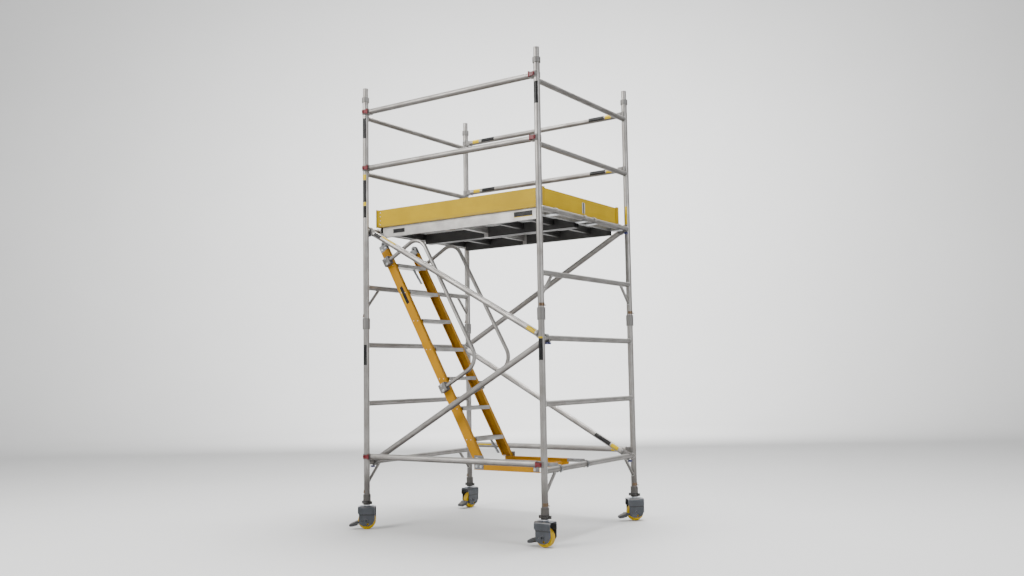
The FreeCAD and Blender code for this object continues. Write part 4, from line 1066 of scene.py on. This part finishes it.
BILL = (                              # x, z, half width and half height of each section
    (-0.0790, 0.0530, 0.0370, 0.0195), (-0.0795, 0.0530, 0.0370, 0.0198), (-0.0950, 0.0490, 0.0365, 0.0188),
    (-0.1120, 0.0435, 0.0355, 0.0178), (-0.1270, 0.0395, 0.0335, 0.0160), (-0.1390, 0.0370, 0.0315, 0.0138),
    (-0.1465, 0.0355, 0.0285, 0.0100), (-0.1490, 0.0352, 0.0250, 0.0065), (-0.1495, 0.0350, 0.0225, 0.0035),
)


def pedal_shapes():
    """Brake pedal: the bill with grip bars on its back, two arms and their headed pivot pins."""
    shapes = [bill(BILL)]
    for x, z, half in ((-0.100, 0.0660, 0.027), (-0.112, 0.0618, 0.026), (-0.124, 0.0568, 0.024)):
        spot, back = (x, 0.0, z - 0.0012), (-1, 0, -0.36)
        shapes.append(tablet(spot, back, -Y_AXIS, 0.0018, half, 0.0020, 0.0012, 0.0006))
    for row in (-1, 1):
        out = np.array([0.0, row, 0.0])
        inner = np.array([-0.037, row * 0.030, WHEEL_R])
        arm = inner + [-0.0290, 0.0, -0.0150]
        shapes.append(tablet(arm, row * Z_AXIS, X_AXIS, 0.0098, 0.0290, 0.0070, 0.002))
        disc = [(0.0, 0.0), (0.0, 0.0134), (0.0006, 0.0140), (0.0064, 0.0140), (0.0070, 0.0134),
                (0.0070, 0.0)]
        pin = [(0.0068, 0.0), (0.0068, 0.0040), (0.0163, 0.0040), (0.0163, 0.0070), (0.0183, 0.0070),
               (0.0192, 0.0058), (0.0192, 0.0)]
        shapes.append(turned(inner, out, disc, 32))
        shapes.append(turned(inner, out, pin, 24))
    return shapes


def settled(shapes, corner):
    """Shapes built about the king pin, turned by the castor's swivel and moved to its corner."""
    side, row = CORNERS[corner]
    turn = math.radians(SWIVEL[corner])
    along, across = (math.cos(turn), math.sin(turn), 0.0), (-math.sin(turn), math.cos(turn), 0.0)
    spin = np.array([along, across, Z_AXIS])
    return [shape @ spin + [side * POST_X, row * POST_Y, 0.0] for shape in shapes]


def trigger_grips(side, row):
    """Three grip bars on the thumb of each red trigger."""
    grips = []
    for height in BRACES:
        for along in (0.888, 0.892, 0.896):
            grips.append(tablet((side * along, row * (POST_Y + 0.0494), height), X_AXIS, Z_AXIS * -row,
                                0.0009, 0.010, 0.0012, 0.0006, 0.0003))
    return grips


for corner, (side, row) in CORNERS.items():
    legs = [threaded_leg(side * POST_X, row * POST_Y)]
    wheels, pedals = settled(wheel_shapes(), corner), settled(pedal_shapes(), corner)
    bolts, plates = settled(fork_hardware(), corner), settled(crown_plate(), corner)
    leg = piece(f"threaded_leg_{corner}", legs, f"leg_{corner}", STEEL, 40)
    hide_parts(f"adjustable_leg_{corner}")
    wheel = piece(f"grooved_wheel_{corner}", wheels, f"wheel_{corner}", TYRES[corner], 50)
    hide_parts(f"castor_wheel_{corner}")
    piece(f"fork_hardware_{corner}", bolts, f"fork_{corner}", FORK, 40)
    piece(f"crown_plate_{corner}", plates, f"fork_{corner}", CROWN, 40)
    pedal = piece(f"pedal_bill_{corner}", pedals, f"pedal_{corner}", PEDAL, 40)
    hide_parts(f"brake_pedal_{corner}")
    piece(f"trigger_grips_{corner}", trigger_grips(side, row), f"red_triggers_{corner}", RED)


# ---------------------------------------------------------------- studio

CAMERA_PLACE = Vector((4.7674, -6.7438, 1.2946))
CAMERA_TURN = (0.5873, 0.0839, -0.0178)     # round Z, up from level, and roll
CAMERA_LENS = 33.155
CAMERA_SHIFT = (-0.01333, 0.00571)


def set_camera():
    turn, rise, roll = CAMERA_TURN
    ahead = Vector((-math.sin(turn) * math.cos(rise), math.cos(turn) * math.cos(rise), math.sin(rise)))
    level = Vector((math.cos(turn), math.sin(turn), 0.0))
    above = level.cross(ahead)
    right = level * math.cos(roll) + above * math.sin(roll)
    up = above * math.cos(roll) - level * math.sin(roll)
    data = bpy.data.cameras.new("camera")
    data.lens = CAMERA_LENS
    data.shift_x, data.shift_y = CAMERA_SHIFT
    camera = bpy.data.objects.new("camera", data)
    bpy.context.scene.collection.objects.link(camera)
    camera.matrix_world = Matrix.Translation(CAMERA_PLACE) @ Matrix((right, up, -ahead)).transposed().to_4x4()
    bpy.context.scene.camera = camera


def soft_light(name, place, aim, size, power, tint):
    """Square softbox at place, turned towards aim."""
    data = bpy.data.lights.new(name, "AREA")
    data.shape = "RECTANGLE"
    data.size, data.size_y = size
    data.energy = power
    data.color = tint
    lamp = bpy.data.objects.new(name, data)
    bpy.context.scene.collection.objects.link(lamp)
    lamp.location = place
    lamp.rotation_euler = (Vector(aim) - Vector(place)).to_track_quat("-Z", "Y").to_euler()


def set_backdrop():
    """Pale round floor that curves up into a wall: a profile turned about Z."""
    bend = np.linspace(0, np.pi / 2, 16)
    radius = np.r_[0.0, 14.0, 14.0 + 5.0 * np.sin(bend), 19.0]
    height = np.r_[0.0, 0.0, 5.0 - 5.0 * np.cos(bend), 16.0]
    angle = np.linspace(2 * np.pi, 0, 65)
    flat = radius[:, None]
    rise = np.broadcast_to(height[:, None] - 0.0004, (len(radius), len(angle)))
    grid = np.stack([flat * np.cos(angle), flat * np.sin(angle), rise], axis=2)
    nodes = Skin("pale_floor", 0.0, Roughness=0.8)
    tone = nodes.noise(nodes.place, 0.5, 2.0)
    nodes.feed(nodes.shader.inputs["Base Color"], nodes.mix(tone, (0.62, 0.62, 0.615), (0.66, 0.66, 0.655)))
    skinned("pale_floor", [grid], nodes.material, closed=False)


def set_lights():
    world = bpy.data.worlds.new("studio")
    world.use_nodes = True
    world.node_tree.nodes["Background"].inputs["Color"].default_value = (0.95, 0.97, 1.0, 1.0)
    world.node_tree.nodes["Background"].inputs["Strength"].default_value = 0.5
    bpy.context.scene.world = world
    soft_light("key_softbox", (-3.5, -7.5, 6.5), (0, 0, 2.0), (4.0, 4.0), 800, (1.0, 0.985, 0.96))
    soft_light("fill_softbox", (8.5, -2.5, 4.5), (0, 0, 2.0), (3.0, 4.0), 300, (0.95, 0.97, 1.0))
    soft_light("top_softbox", (0.5, 1.0, 8.5), (0, 0, 2.0), (4.0, 4.0), 1500, (1.0, 1.0, 1.0))
    soft_light("wall_softbox", (-5.0, 8.0, 7.0), (-10.5, 16.5, 5.0), (8.0, 6.0), 3200, (1.0, 1.0, 1.0))


set_camera()
set_backdrop()
set_lights()

bpy.context.view_layer.update()
